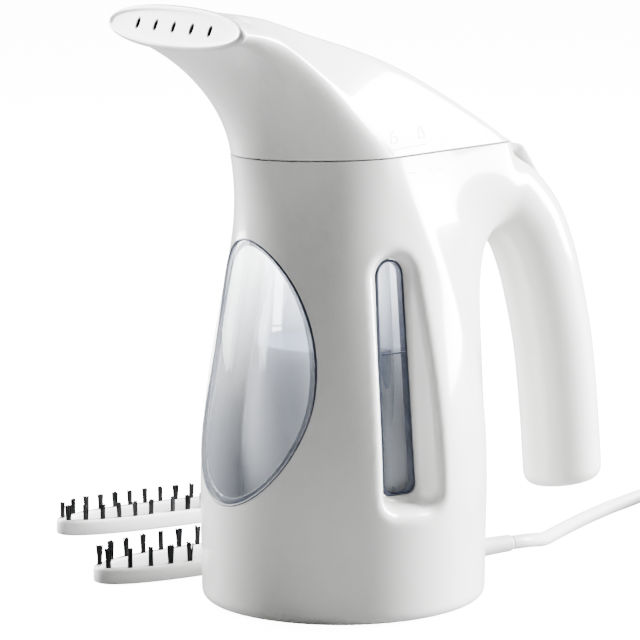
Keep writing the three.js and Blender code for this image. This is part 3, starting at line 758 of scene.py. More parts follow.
def unit_radius(ridge: float, tail: float, half: float) -> np.ndarray:
    """Radius for each direction of a section scaled to a unit circle.

    Args:
        ridge: angle of the ridge behind the widest line, in degrees.
        tail: half width of the flat tail.
        half: half width of the section.

    Returns:
        Radius from -90 degrees, the front, to +90 degrees, the tail.
    """
    angle = np.radians(np.linspace(-90, 90, DIRECTIONS))
    start = math.radians(ridge)
    p = np.array([math.cos(start), math.sin(start)])
    q = np.array([tail / half, 0.985])
    radius = np.ones(DIRECTIONS)
    towards = np.stack([np.cos(angle), np.sin(angle)], axis=1)
    normal = np.array([q[1] - p[1], p[0] - q[0]])
    flank = (p @ normal) / np.maximum(towards @ normal, 1e-6)
    cap = 1.0 / np.maximum(towards[:, 1], 1e-6)
    behind = angle > start
    return np.where(behind, np.minimum(flank, cap), radius)


class Casing:
    """The outer form of the casing: body, handle and side recesses, as fields in millimetres."""

    body = (
        Section(-12, 54.6, -2, -57.4, 56.4, 70, 12),
        Section(20, 54.8, -2, -57.8, 56.6, 70, 12),
        Section(46, 55, -2, -58.3, 57.4, 66, 14),
        Section(68, 53.6, -2, -57.6, 57.2, 54, 16),
        Section(88, 50.8, -2, -55.8, 56.4, 44, 16.5),
        Section(104, 47.8, -2, -53.6, 56, 38, 16),
        Section(120, 44.4, -2, -50.8, 56, 30, 15),
        Section(134, 41, -2, -48.2, 58, 22, 14.5),
        Section(150, 37.6, -2, -46, 63, 12, 14),
        Section(164, 35.6, -2, -46.2, 69, 5, 14),
        Section(178, 35, -2, -48.4, 72, -2, 14),
        Section(192, 35, -2, -52, 74, -4, 14),
    )
    low = -12.0
    step = 0.5
    handle_line = (
        (20, 157.5),
        (50, 160.5),
        (73, 156.3),
        (86.5, 145),
        (94, 130.5),
        (98.8, 115),
        (104, 92),
        (107.5, 64),
        (110, 35.5),
        (112.5, 8),
    )
    handle_half = 15.0
    handle_thick = 17.0
    handle_end = 33.2
    seam = 177.8
    foot_line = 0.6
    floor = 43.5
    lean = -0.085

    def __init__(self) -> None:
        """Works out the tables that the fields read."""
        heights = np.arange(self.low, self.body[-1].at + self.step / 2, self.step)
        sizes = outline(heights, self.body)
        for key in sizes:
            sizes[key] = smoothed(sizes[key], 6.0 / self.step, 0)
        self.heights = heights
        self.sizes = sizes
        table = np.stack(
            [unit_radius(r, t, h) for r, t, h in zip(sizes["ridge"], sizes["tail"], sizes["half"])]
        )
        self.table = smoothed(table, RIDGE_SOFTNESS * 2, 1)
        line = smooth_curve(self.handle_line, 0.5)
        self.handle_y = np.arange(-20.0, 150.0, 1.0)
        self.handle_z = np.arange(-14.0, 196.0, 1.0)
        yy, zz = np.meshgrid(self.handle_y, self.handle_z, indexing="ij")
        nearest = np.full(yy.shape, 1e9)
        for y, z in line:
            nearest = np.minimum(nearest, np.hypot(yy - y, zz - z))
        self.handle_table = nearest

    def size(self, key: str, z: np.ndarray) -> np.ndarray:
        """One section size at heights."""
        return np.interp(z, self.heights, self.sizes[key])

    @staticmethod
    def lookup(table: np.ndarray, row: np.ndarray, column: np.ndarray) -> np.ndarray:
        """A table read between its samples by bilinear mixing."""
        row = np.clip(row, 0, table.shape[0] - 1.001)
        column = np.clip(column, 0, table.shape[1] - 1.001)
        i, j = row.astype(int), column.astype(int)
        a, b = row - i, column - j
        return (
            table[i, j] * (1 - a) * (1 - b)
            + table[i + 1, j] * a * (1 - b)
            + table[i, j + 1] * (1 - a) * b
            + table[i + 1, j + 1] * a * b
        )

    def trunk(self, at: Points) -> np.ndarray:
        """Field of the body without its handle."""
        x, y, z = at.T
        middle, half = self.size("middle", z), self.size("half", z)
        reach = np.where(y < middle, middle - self.size("front", z), self.size("back", z) - middle)
        u, v = np.abs(x) / half, (y - middle) / reach
        flat = np.hypot(u, v)
        column = (np.degrees(np.arctan2(v, u)) + 90) * (DIRECTIONS - 1) / 180
        radius = self.lookup(self.table, (z - self.low) / self.step, column)
        real = np.hypot(x, y - middle)
        return real * (1 - radius / np.maximum(flat, 1e-6))

    def bar(self, at: Points) -> np.ndarray:
        """Field of the handle without its end."""
        x, y, z = at.T
        aside = self.lookup(self.handle_table, y - self.handle_y[0], z - self.handle_z[0])
        size = np.hypot(x / self.handle_half, aside / self.handle_thick)
        return (size - 1) * self.handle_half

    def handle(self, at: Points) -> np.ndarray:
        """Field of the handle, with its end rounded off."""
        end = self.handle_end - at[:, 2] + 0.1 * (at[:, 1] - 110)
        return soft_max(self.bar(at), end, 6.0)

    def recess(self, at: Points) -> np.ndarray:
        """Field of the two side recesses that hold the gauge windows, with flared walls."""
        x, y, z = at.T
        floor = self.floor + self.lean * (z - 46)
        depth = np.maximum(np.abs(x) - floor, 0.0)
        half = np.interp(z, (46, 141), (9.4, 7.8)) + 0.42 * depth
        low, high = 47 - 0.42 * depth, 140.5 + 0.42 * depth
        middle, tall = (low + high) / 2, (high - low) / 2
        corner = np.where(z > middle, half, np.minimum(half, 5.0 + 0.2 * depth))
        away = np.abs(y - GAUGE_Y) - (half - corner)
        above = np.abs(z - middle) - (tall - corner)
        slot = np.hypot(np.maximum(away, 0), np.maximum(above, 0)) + np.minimum(np.maximum(away, above), 0) - corner
        return soft_max(slot, floor - np.abs(x), 2.0)

    def outer(self, at: Points) -> np.ndarray:
        """Field of the whole outside."""
        whole = soft_min(self.trunk(at), self.handle(at), 13.0)
        whole = soft_max(whole, -self.recess(at), 4.0)
        whole = soft_max(whole, self.foot_line - at[:, 2], 4.0)
        return np.maximum(whole, at[:, 2] - 181)

    def inner(self, at: Points) -> np.ndarray:
        """Field of the hollow inside the wall, open at the foot, the seam and the handle's end."""
        whole = soft_min(self.trunk(at), self.bar(at), 13.0)
        whole = soft_max(whole, -self.recess(at), 4.0) + WALL
        return np.maximum(whole, np.maximum(at[:, 2] - 185, -5 - at[:, 2]))

    def front(self, x: np.ndarray, z: np.ndarray) -> np.ndarray:
        """Y of the front of the body at places across and up."""
        share = np.clip(np.abs(x) / self.size("half", z), 0, 0.999)
        middle = self.size("middle", z)
        return middle - (middle - self.size("front", z)) * np.sqrt(1 - share**2)


WALL = 2.4
GAUGE_Y = -5.0
CASE = Casing()


def box_tool(low: Sequence[float], high: Sequence[float]) -> bpy.types.Object:
    """A plain box between two corners, used only to cut."""
    ring = [(low[0], low[1]), (high[0], low[1]), (high[0], high[1]), (low[0], high[1])]
    points, faces = loft([[(x, y, z) for x, y in ring] for z in (low[2], high[2])])
    return mesh_object("tool_box", points, faces)


# ---- Assemblies -----------------------------------------------------------------------------------------


class Assembly:
    """A sub-assembly that makes its pieces, dresses them and says what they ride on."""

    def build(self) -> None:
        """Makes every piece of the sub-assembly."""
        raise NotImplementedError

    @staticmethod
    def keep(obj: bpy.types.Object, body: Body, finish: Finish, *nodes: str) -> bpy.types.Object:
        """Dresses a piece, lets it ride on its body and hides the nodes that it stands for.

        Args:
            obj: the finished piece.
            body: the body it rides on.
            finish: its finish.
            *nodes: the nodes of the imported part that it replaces.

        Returns:
            The same piece.
        """
        if not any(obj.data.materials):
            obj.data.materials.clear()
            obj.data.materials.append(finish.material())
        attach(obj, body.value)
        if nodes:
            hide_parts(*nodes)
        log.info("%-24s on %-10s %s", obj.name, body.value, finish.name)
        return obj


def scene_camera() -> None:
    """Makes the camera at the height and angle that shows the nozzle, window and handle."""
    data = bpy.data.cameras.new("camera")
    data.lens = 194.06
    data.sensor_width = 36.0
    data.clip_start = 0.05
    data.clip_end = 20.0
    camera = bpy.data.objects.new("camera", data)
    camera.location = (1.0974, -0.7684, 0.331)
    camera.rotation_euler = (math.radians(80.66), 0.0, math.radians(55.43))
    bpy.context.scene.collection.objects.link(camera)
    bpy.context.scene.camera = camera


# ---- Cord -----------------------------------------------------------------------------------------------


@dataclass
class MainsLead(Assembly):
    """The free cord from the casing along the table to its wound coil, with its plug."""

    radius: float = 3.0
    exit_z: float = 10.0
    lead: tuple = (
        (0, 83.5, 10),
        (-0.6, 90, 9.7),
        (-5, 99, 8.2),
        (-12, 108.5, 5.8),
        (-20, 118, 3.9),
        (-27.5, 128.5, 3.05),
        (-34, 140, 3),
        (-41, 153, 3),
        (-48, 167, 3),
        (-54, 180, 3),
        (-59, 193, 3.1),
        (-62.2, 205, 3.7),
        (-63, 217, 4),
    )
    coil_x: float = -18.0
    coil_y: float = 240.0
    coil_outer: float = 45.0
    coil_inner: float = 23.6
    pitch: float = 6.1
    lower: float = 4.0
    upper: float = 10.2
    tail: tuple = ((33.4, 232.9), -110 + 40)
    per_turn: int = 36

    def wound(self) -> Points:
        """Centre points of the coil, outside in on the table, then inside out on top."""
        lower_turns = (self.coil_outer - self.coil_inner) / self.pitch
        climb = 0.32
        upper_turns = 3.5926
        total = lower_turns + climb + upper_turns
        turns = np.arange(0, total, 1 / self.per_turn)
        turns = np.append(turns, total)
        shrink = np.clip(turns, 0, lower_turns)
        grow = np.clip(turns - lower_turns - climb, 0, None)
        radius = self.coil_outer - self.pitch * shrink + self.pitch * grow
        lift = np.clip((turns - lower_turns) / climb, 0, 1)
        z = self.lower + (self.upper - self.lower) * lift * lift * (3 - 2 * lift)
        angle = math.pi - 2 * math.pi * turns
        return np.stack([self.coil_x + radius * np.cos(angle), self.coil_y + radius * np.sin(angle), z], axis=1)

    def route(self) -> Points:
        """Centre points of the whole cord, from the strain relief to the plug."""
        coil = self.wound()
        lead = smooth_curve([*self.lead, (coil[1][0], coil[1][1] + 12, self.lower)], 3.0)
        lead = lead[lead[:, 1] < self.coil_y - 6]
        (x, y), turn = self.tail
        heading = np.array([math.cos(math.radians(turn)), math.sin(math.radians(turn))])
        stops = [(0.0, 10.2), (5.0, 9.4), (10.5, 7.9), (16.0, 7.2), (19.0, 7.2)]
        tail = [(x + a * heading[0], y + a * heading[1], z) for a, z in stops]
        tail = smooth_curve([coil[-1], *tail], 3.0)[1:]
        return np.concatenate([lead, coil, tail])

    def curve(self, line: Points) -> bpy.types.Object:
        """The cord as one open spline with a round section."""
        data = bpy.data.curves.new("mains_cord", "CURVE")
        data.dimensions = "3D"
        data.bevel_depth = self.radius * MM
        data.bevel_resolution = 4
        data.use_fill_caps = True
        spline = data.splines.new("POLY")
        spline.points.add(len(line) - 1)
        for point, at in zip(spline.points, line * MM):
            point.co = (*at, 1.0)
        spline.use_smooth = True
        obj = bpy.data.objects.new("mains_cord", data)
        bpy.context.scene.collection.objects.link(obj)
        return obj

    def relief(self) -> bpy.types.Object:
        """The smooth tapered strain relief."""
        profile = [(3.0, 46.2), (3.0, 52.9), (4.8, 53.0), (4.8, 57.3), (4.7, 58.2), (4.35, 60.5)]
        profile += [(4.05, 64.0), (3.8, 70.0), (3.6, 76.0), (3.5, 81.6), (3.4, 82.5), (3.05, 83.0), (3.02, 80.0)]
        turn = np.linspace(0, 2 * math.pi, 40, endpoint=False)
        rings = [
            np.stack([r * np.cos(turn), np.full(40, y), self.exit_z + r * np.sin(turn)], axis=1)
            for r, y in profile
        ]
        points, faces = loft(rings)
        return mesh_object("cord_relief", points, faces, 40)

    def plug_ring(self, along: float, half: float, tall: float, power: float) -> Points:
        """One ring of the plug, square to the tail of the cord."""
        (x, y), turn = self.tail
        flat = superoval(half, tall, power, 48)
        c, s = math.cos(math.radians(turn)), math.sin(math.radians(turn))
        return np.stack([x + along * c + flat[:, 0] * s, y + along * s - flat[:, 0] * c, 7.2 + flat[:, 1]], axis=1)

    def plug(self) -> list[bpy.types.Object]:
        """The moulded plug body and its ribbed collar."""
        stations = [
            (38.9, 6.6, 5.4, 2.4),
            (39.3, 7.6, 6.0, 2.6),
            (41, 8.6, 6.4, 2.8),
            (44, 11.2, 6.8, 3.0),
            (47.5, 14.0, 7.0, 3.3),
            (52, 16.2, 7.1, 3.6),
            (58, 17.3, 7.1, 4.0),
            (64, 17.4, 7.1, 4.2),
            (67.6, 17.4, 7.1, 4.2),
            (68.6, 17.0, 6.7, 4.2),
            (68.9, 16.2, 5.9, 4.2),
        ]
        body = mesh_object("plug_moulding", *loft([self.plug_ring(*s) for s in stations]))
        grip = [(16.6, 3.3, 3.3, 2.0), (16.7, 3.75, 3.75, 2.0)]
        for i in range(5):
            a, r = 18.6 + i * 4.0, 3.9 + 0.35 * i
            for along, out in ((0.0, 0.0), (0.3, -0.6), (1.4, -0.6), (1.7, 0.1)):
                grip.append((a + along, r + out, r + out, 2.0))
        grip += [(38.4, 5.5, 5.5, 2.0), (38.6, 5.2, 5.2, 2.0)]
        collar = mesh_object("plug_collar", *loft([self.plug_ring(*s) for s in grip]), 40)
        return [body, collar]

    def build(self) -> None:
        line = self.route()
        cord = self.curve(line)
        relief = self.relief()
        body, collar = self.plug()
        self.keep(cord, Body.BASE, JACKET, "power_cord", "cord_coil", "cord_tail")
        self.keep(relief, Body.BASE, RELIEF, "strain_relief")
        self.keep(body, Body.BASE, PLUG, "plug_body")
        self.keep(collar, Body.BASE, RELIEF, "plug_relief")


# ---- Casing pieces --------------------------------------------------------------------------------------


@dataclass
class BodyCasing(Assembly):
    """The glossy body with its handle, side recesses and openings."""

    cell: float = 1.35
    hollow_cell: float = 2.2
    window_half: float = 35.8
    window_low: float = 43.5
    window_middle: float = 88.0
    window_high: float = 146.5
    pane_low: float = 8.0
    pane_high: float = 6.6
    switch_y: float = 87.0
    switch_z: float = 167.8
    switch_slope: float = -51.0
    cord_hole: float = 5.1
    cord_high: float = 10.0

    def window_outline(self, margin: float = 0.0, count: int = 128) -> Points:
        """The egg-shaped outline of the front window, across and up."""
        angle = np.linspace(0, 2 * math.pi, count, endpoint=False)
        c, s = np.cos(angle), np.sin(angle)
        tall = np.where(s > 0, self.window_high - self.window_middle, self.window_middle - self.window_low) + margin
        power = np.where(s > 0, 2 / 1.88, 2 / 1.96)
        across = np.sign(c) * (self.window_half + margin) * np.abs(c) ** power
        return np.stack([across, self.window_middle + np.sign(s) * tall * np.abs(s) ** power], axis=1)

    @staticmethod
    def slot_outline(half_low: float, half_high: float, low: float, high: float, corner: float = 4.0) -> Points:
        """A slot in Y and Z with a round top and a nearly square bottom."""
        points = []
        for a in np.linspace(0, math.pi, 25):
            points.append((half_high * math.cos(a), high - half_high + half_high * math.sin(a)))
        for sign, start in ((-1, math.pi), (1, 1.5 * math.pi)):
            for a in np.linspace(start, start + math.pi / 2, 9):
                points.append((sign * (half_low - corner) + corner * math.cos(a), low + corner + corner * math.sin(a)))
        return np.array(points) + (GAUGE_Y, 0)

    def slot_bar(
        self, side: Side, layers: Sequence[tuple[float, float]], low: float, high: float
    ) -> tuple[Points, Faces]:
        """Stacked slot outlines that follow the leaning recess floor.

        Args:
            side: which flank.
            layers: each layer's height over the recess floor and its growth beyond the window opening.
            low: height of the opening's bottom.
            high: height of the opening's top.

        Returns:
            Points and faces.
        """
        rings = []
        for rise, grow in layers:
            flat = self.slot_outline(self.pane_low + grow, self.pane_high + grow, low - grow, high + grow)
            x = CASE.floor + CASE.lean * (flat[:, 1] - 46) + rise
            rings.append(np.stack([side.value * x, flat[:, 0], flat[:, 1]], axis=1))
        return loft(rings)

    def shell(self) -> bpy.types.Object:
        """The body with its handle as one hollow moulding."""
        low, high = (-62, -66, -4), (62, 134, 184)
        outer = mesh_object("casing_body", *surface_net(CASE.outer, low, high, self.cell))
        hollow = mesh_object(
            "tool_hollow", *surface_net(CASE.inner, (-60, -64, -8), (60, 132, 188), self.hollow_cell)
        )
        carve(outer, box_tool((-90, -90, CASE.seam), (90, 160, 240)))
        carve(outer, hollow)
        flat = self.window_outline()
        bar = [np.stack([flat[:, 0], np.full(len(flat), y), flat[:, 1]], axis=1) for y in (-80.0, -19.0)]
        carve(outer, mesh_object("tool_window", *loft(bar)))
        for side in Side:
            carve(outer, mesh_object("tool_slot", *self.slot_bar(side, [(-14, 0), (6, 0)], 48.5, 139.8)))
        carve(outer, self.switch_tool())
        hole = np.linspace(0, 2 * math.pi, 40, endpoint=False)
        across, up = self.cord_hole * np.cos(hole), self.cord_high + self.cord_hole * np.sin(hole)
        rings = [np.stack([across, np.full(40, y), up], axis=1) for y in (46.0, 66.0)]
        carve(outer, mesh_object("tool_cord_hole", *loft(rings)))
        return outer

    def switch_tool(self) -> bpy.types.Object:
        """The pocket that the rocker sits in."""
        flat = superoval(6.5, 9.9, 6.0, 64)
        turn = Matrix.Rotation(math.radians(self.switch_slope), 3, "X")
        place = Vector((0, self.switch_y, self.switch_z))
        rings = []
        for rise in (-7.0, 9.0):
            rings.append([tuple(turn @ Vector((x, y, rise)) + place) for x, y in flat])
        return mesh_object("tool_switch", *loft(rings))

    def pane(self) -> bpy.types.Object:
        """The smoked front window, a curved sheet with eased edges."""
        rings_out, rings_in = [], []
        for share in (1.0, 0.985, 0.95, 0.88, 0.78, 0.66, 0.54, 0.42, 0.3, 0.18, 0.07):
            flat = self.window_outline(-0.35)
            flat = (flat - (0, self.window_middle)) * share + (0, self.window_middle)
            y = CASE.front(flat[:, 0], flat[:, 1])
            ease = 0.55 if share == 1.0 else 0.12
            rings_out.append(np.stack([flat[:, 0], y + ease, flat[:, 1]], axis=1))
            rings_in.append(np.stack([flat[:, 0], y + 2.0, flat[:, 1]], axis=1))
        points, faces = loft(rings_in[::-1] + rings_out)
        return mesh_object("front_pane", points, faces, 50)

    def pane_band(self, name: str, inset: float, width: float, rise: float, thick: float) -> bpy.types.Object:
        """A band that follows the window's edge on the curved front.

        Args:
            name: the piece's name.
            inset: distance of the band's outer edge inside the opening.
            width: how wide the band is.
            rise: distance of its face behind the casing's outside.
            thick: its thickness.

        Returns:
            The band.
        """
        rings = []
        for margin, depth in (
            (-inset, rise + 0.15),
            (-inset - 0.2, rise),
            (-inset - width + 0.2, rise),
            (-inset - width, rise + 0.15),
            (-inset - width, rise + thick),
            (-inset, rise + thick),
        ):
            flat = self.window_outline(margin)
            rings.append(np.stack([flat[:, 0], CASE.front(flat[:, 0], flat[:, 1]) + depth, flat[:, 1]], axis=1))
        return mesh_object(name, *loft(rings, closed=True), 50)

    def edge_line(self) -> bpy.types.Object:
        """The dark bead that closes the joint between pane and casing."""
        flat = self.window_outline(-0.1)
        line = np.stack([flat[:, 0], CASE.front(flat[:, 0], flat[:, 1]) + 0.45, flat[:, 1]], axis=1)
        return mesh_object("window_bead", *tube(line, 0.6, 10, closed=True))

    def gauge(self, side: Side) -> None:
        """Pane, seal and level line of one gauge window."""
        name = side.name.lower()
        pane = mesh_object(
            f"gauge_pane_{name}",
            *self.slot_bar(side, [(-2.6, -1.5), (0.3, -1.5), (0.75, -1.8), (0.85, -2.6)], 48.5, 139.8),
            30,
        )
        self.keep(pane, Body.BASE, GAUGE_PANE, f"side_window_{name}")
        layers = [(-2.8, -0.3), (0.2, -0.3), (0.5, -0.5), (0.55, -0.9), (0.35, -1.25), (-2.8, -1.3)]
        rings = []
        for rise, grow in layers:
            flat = self.slot_outline(self.pane_low + grow, self.pane_high + grow, 48.5 - grow, 139.8 + grow)
            x = CASE.floor + CASE.lean * (flat[:, 1] - 46) + rise
            rings.append(np.stack([side.value * x, flat[:, 0], flat[:, 1]], axis=1))
        seal = mesh_object(f"gauge_seal_{name}", *loft(rings, closed=True), 50)
        self.keep(seal, Body.BASE, SEAL, f"side_window_seal_{name}")
        x = CASE.floor + CASE.lean * (103.5 - 46) + 1.05
        mark = box_tool((-5.4, -0.36, -0.32), (5.4, 0.36, 0.32))
        mark.name = mark.data.name = f"gauge_level_line_{name}"
        mark.data.transform(Matrix.Rotation(math.radians(90), 4, "Z"))
        mark.data.transform(Matrix.Translation(Vector((side.value * x, GAUGE_Y, 103.5)) * MM))
        self.keep(rounded(mark, 0.12, 2), Body.BASE, SEAL)

    def handle_plug(self) -> bpy.types.Object:
        """The cap that closes the handle's open end."""
        lean = 0.1
        rings = []
        for inset, z in ((1.6, 34.9), (0.6, 35.0), (0.1, 35.4), (0.0, 36.0), (0.0, 40.0)):
            flat = superoval(12.1 - inset, 14.1 - inset, 2.0)
            rings.append(np.stack([flat[:, 0], 110 + flat[:, 1], z + lean * flat[:, 1]], axis=1))
        return mesh_object("handle_plug", *loft(rings), 50)

    def build(self) -> None:
        """Makes the casing and its windows."""
        self.keep(self.handle_plug(), Body.BASE, CASING, "handle_end_cap")
        self.keep(self.shell(), Body.BASE, CASING, "body_shell")
        self.keep(self.pane(), Body.BASE, SMOKED, "front_window")
        self.keep(self.pane_band("window_rim", 0.8, 2.0, 2.1, 0.8), Body.BASE, RIM, "front_window_seal")
        self.keep(self.edge_line(), Body.BASE, SEAL)
        for side in Side:
            self.gauge(side)


# ---- Tank and water -------------------------------------------------------------------------------------


@dataclass
class WaterTank(Assembly):
    """The clear tank, its water and the sight tubes behind the gauge windows."""

    inset: float = 15.5
    low: float = 34.0
    high: float = 158.0
    wall: float = 1.6
    back_limit: float = 50.0
    level: float = 103.5
    boiler_y: float = 8.0
    boiler_radius: float = 12.6
    tube_radius: float = 5.4

    def ring(self, z: float, inset: float, count: int = 96) -> Points:
        """One level of the tank, a set distance inside the casing."""
        height = np.array([z])
        half = float(CASE.size("half", height)[0]) - inset
        front = float(CASE.size("front", height)[0]) + inset
        back = min(float(CASE.size("back", height)[0]), self.back_limit) - inset
        middle = -2.0
        angle = np.linspace(0, 2 * math.pi, count, endpoint=False)
        reach = np.where(np.sin(angle) < 0, middle - front, back - middle)
        return np.stack([half * np.cos(angle), middle + reach * np.sin(angle), np.full(count, z)], axis=1)

    def cup(self) -> bpy.types.Object:
        """The open tank with a rounded foot."""
        outer = [self.ring(self.low, self.inset + 4), self.ring(self.low + 1, self.inset + 1.2)]
        outer += [self.ring(z, self.inset) for z in np.linspace(self.low + 3.5, self.high, 28)]
        inner = [self.ring(z, self.inset + self.wall) for z in np.linspace(self.high, self.low + 4.5, 28)]
        inner += [self.ring(self.low + 2.2, self.inset + 3.2), self.ring(self.low + 1.8, self.inset + 6)]
        cup = mesh_object("tank_cup", *loft([*outer, *inner]), 50)
        turn = np.linspace(0, 2 * math.pi, 48, endpoint=False)
        hole = [
            np.stack([12.5 * np.cos(turn), self.boiler_y + 12.5 * np.sin(turn), np.full(48, z)], axis=1)
            for z in (self.low - 3, self.low + 4)
        ]
        return carve(cup, mesh_object("tool_boiler", *loft(hole)), 50)

    def water(self) -> bpy.types.Object:
        """The water up to the level line, round the boiler column."""
        gap = self.inset + self.wall + 0.15
        rings = [self.ring(self.low + 2.6, gap + 3)]
        rings += [self.ring(z, gap) for z in np.linspace(self.low + 5.5, self.level, 20)]
        body = mesh_object("tank_water", *loft(rings), 50)
        turn = np.linspace(0, 2 * math.pi, 48, endpoint=False)
        x, y = self.boiler_radius * np.cos(turn), self.boiler_y + self.boiler_radius * np.sin(turn)
        hole = [np.stack([x, y, np.full(48, z)], axis=1) for z in (self.low - 3, self.level + 5)]
        return carve(body, mesh_object("tool_column", *loft(hole)), 50)

    def sight_tube(self, side: Side) -> None:
        """The clear tube behind one gauge window and the water that stands in it."""
        name = side.name.lower()
        for label, radius, low, high, finish in (
            ("sight_water", self.tube_radius - 0.9, 50.5, self.level, GAUGE_WATER),
            ("sight_tube", self.tube_radius, 49.0, 140.0, TUBE),
        ):
            rings = []
            for z in (low, low + 0.5, *np.linspace(low + 8, high - 8, 6), high - 0.5, high):
                reach = radius - 0.5 if z in (low, high) else radius
                turn = np.linspace(0, 2 * math.pi, 40, endpoint=False)
                x = side.value * (CASE.floor + CASE.lean * (z - 46) - 9.4)
                rings.append(
                    np.stack([x + reach * np.cos(turn), GAUGE_Y + 0.6 + reach * np.sin(turn), np.full(40, z)], axis=1)
                )
            self.keep(mesh_object(f"{label}_{name}", *loft(rings), 50), Body.BASE, finish)

    def build(self) -> None:
        """Makes the tank and its water."""
        self.keep(self.cup(), Body.BASE, TANK, "water_tank")
        self.keep(self.water(), Body.BASE, WATER)
        for side in Side:
            self.sight_tube(side)


# ---- Head -----------------------------------------------------------------------------------------------


@dataclass
class SteamHead(Assembly):
    """The lift-off head, whose sections fan about a line in front of the seam."""

    pivot_y: float = -96.7
    pivot_z: float = 178.0
    wall: float = 2.2
    lift: float = 0.3
    plate_angle: float = 68.0
    plate_half: float = 47.0
    plate_low: float = 46.0
    plate_high: float = 62.6
    holes: int = 5
    hole_pitch: float = 12.6
    sections: tuple = (
        Section(0, 35, 94.7, 48.3, 168.7, -2, 14),
        Section(6, 35, 87.2, 48.1, 144, -2, 14),
        Section(12, 35.2, 80.6, 47.7, 126.8, -2, 14.5),
        Section(19, 35.8, 75, 47, 109.5, -1, 15.5),
        Section(27, 37, 69.9, 46.2, 93.2, 0, 17.5),
        Section(36, 39, 65.3, 45.6, 80.6, 0, 21),
        Section(47, 42, 61, 45.4, 71.8, 4, 26),
        Section(58, 45, 57.2, 45.7, 66.2, 20, 32),
        Section(68, 46.2, 54.3, 46.4, 62.2, 55, 30),
    )

    def rings(self, inset: float = 0.0, count: int = 92, start: float = 0.0) -> list[Points]:
        """Rings of the head's form, shrunk by an inset square to its outline."""
        angles = np.linspace(start, self.plate_angle, count)
        sizes = outline(np.linspace(0, self.plate_angle, 305), self.sections)
        for key in sizes:
            sizes[key] = smoothed(sizes[key], 14.0, 0)
        fine = np.linspace(0, self.plate_angle, 305)
        direction = np.radians(np.linspace(-90, 90, DIRECTIONS))
        table = np.stack([unit_radius(r, t, h) for r, t, h in zip(sizes["ridge"], sizes["tail"], sizes["half"])])
        table = smoothed(table, RIDGE_SOFTNESS * 2, 1)
        rings = []
        for angle in angles:
            row = angle / self.plate_angle * 304
            i = min(int(row), 303)
            unit = table[i] * (1 - row + i) + table[i + 1] * (row - i)
            size = {key: float(np.interp(angle, fine, sizes[key])) for key in sizes}
            reach = np.where(direction < 0, size["middle"] - size["front"], size["back"] - size["middle"])
            x = size["half"] * unit * np.cos(direction)
            r = size["middle"] + reach * unit * np.sin(direction)
            x[0] = x[-1] = 0.0
            flat = np.concatenate([np.stack([x, r], 1)[::3], np.stack([-x, r], 1)[::-3][1:-1]])
            if inset:
                along = np.roll(flat, -1, axis=0) - np.roll(flat, 1, axis=0)
                along /= np.maximum(np.linalg.norm(along, axis=1, keepdims=True), 1e-9)
                flat = flat - inset * np.stack([along[:, 1], -along[:, 0]], axis=1)
            a = math.radians(angle)
            ring = np.stack(
                [flat[:, 0], self.pivot_y + flat[:, 1] * math.cos(a), self.pivot_z + flat[:, 1] * math.sin(a)], axis=1
            )
            ring[:, 2] = np.maximum(ring[:, 2], self.pivot_z + self.lift)
            rings.append(ring)
        return rings

    def shell(self) -> bpy.types.Object:
        """The hollow head, with eased edges at the seam and round the mouth."""
        outer = self.rings()
        ease = self.rings(0.35, start=0.0)
        inner = self.rings(self.wall)
        seam = [ease[0]]
        outer[0] = outer[0] + (0, 0, 0.3)
        return mesh_object("casing_head", *loft([*seam, *outer, ease[-1], *inner[::-1]], closed=True), 35)

    def on_face(self, flat: Points, rise: float) -> Points:
        """Puts points across and up the nozzle face at a height over it."""
        a = math.radians(self.plate_angle)
        radius = (self.plate_low + self.plate_high) / 2
        y0, z0 = self.pivot_y + radius * math.cos(a), self.pivot_z + radius * math.sin(a)
        up, out = np.array([0, math.cos(a), math.sin(a)]), np.array([0, -math.sin(a), math.cos(a)])
        return np.array([0, y0, z0]) + flat[:, :1] * (1, 0, 0) + flat[:, 1:] * up + rise * out

    def plate(self) -> bpy.types.Object:
        """The nozzle plate with a soft rim and five slots."""
        half, tall = self.plate_half, (self.plate_high - self.plate_low) / 2 + 0.5
        profile = [
            (1.4, 0.25),
            (0.4, 0.35),
            (0.0, 0.9),
            (0.0, 1.7),
            (0.12, 2.3),
            (0.45, 2.85),
            (1.0, 3.2),
            (1.7, 3.3),
            (2.3, 3.2),
            (3.0, 3.0),
            (4.2, 2.9),
        ]
        rings = [self.on_face(superoval(half - i, tall - i, 2.15, 128), rise) for i, rise in profile]
        plate = mesh_object("nozzle_face", *loft(rings), 50)
        for i in range(self.holes):
            x = (i - (self.holes - 1) / 2) * self.hole_pitch
            flat = superoval(1.3, 2.3, 2.4, 32)
            layers = ((1, -3), (1, 2.7), (1.12, 3.1), (1.2, 6))
            rings = [self.on_face(flat * grow + (x, 0), rise) for grow, rise in layers]
            carve(plate, mesh_object("tool_slot", *loft(rings)), 50)
        return plate

    def painted_shade_sleeves(self) -> bpy.types.Object:
        """Black sleeves inside the five slots: painted shade standing in for the shadow down the holes."""
        points, faces = [], []
        for i in range(self.holes):
            x = (i - (self.holes - 1) / 2) * self.hole_pitch
            flat = superoval(1.27, 2.27, 2.4, 32)
            layers = ((1, -1.5), (1, 2.6), (0.8, 2.6), (0.8, -1.5))
            rings = [self.on_face(flat * grow + (x, 0), rise) for grow, rise in layers]
            more, sides = loft(rings, closed=True)
            faces += [tuple(k + len(points) for k in face) for face in sides]
            points += [tuple(p) for p in more]
        return mesh_object("slot_liners", points, faces, 50)

    def build(self) -> None:
        """Makes the head and its nozzle plate."""
        self.keep(self.shell(), Body.HEAD, CASING, "head_shell")
        self.keep(self.plate(), Body.HEAD, CASING, "nozzle_plate")
        # black sleeves as painted shade inside the nozzle slots
        self.keep(self.painted_shade_sleeves(), Body.HEAD, BLACK_PLASTIC)


# ---- Marks ----------------------------------------------------------------------------------------------


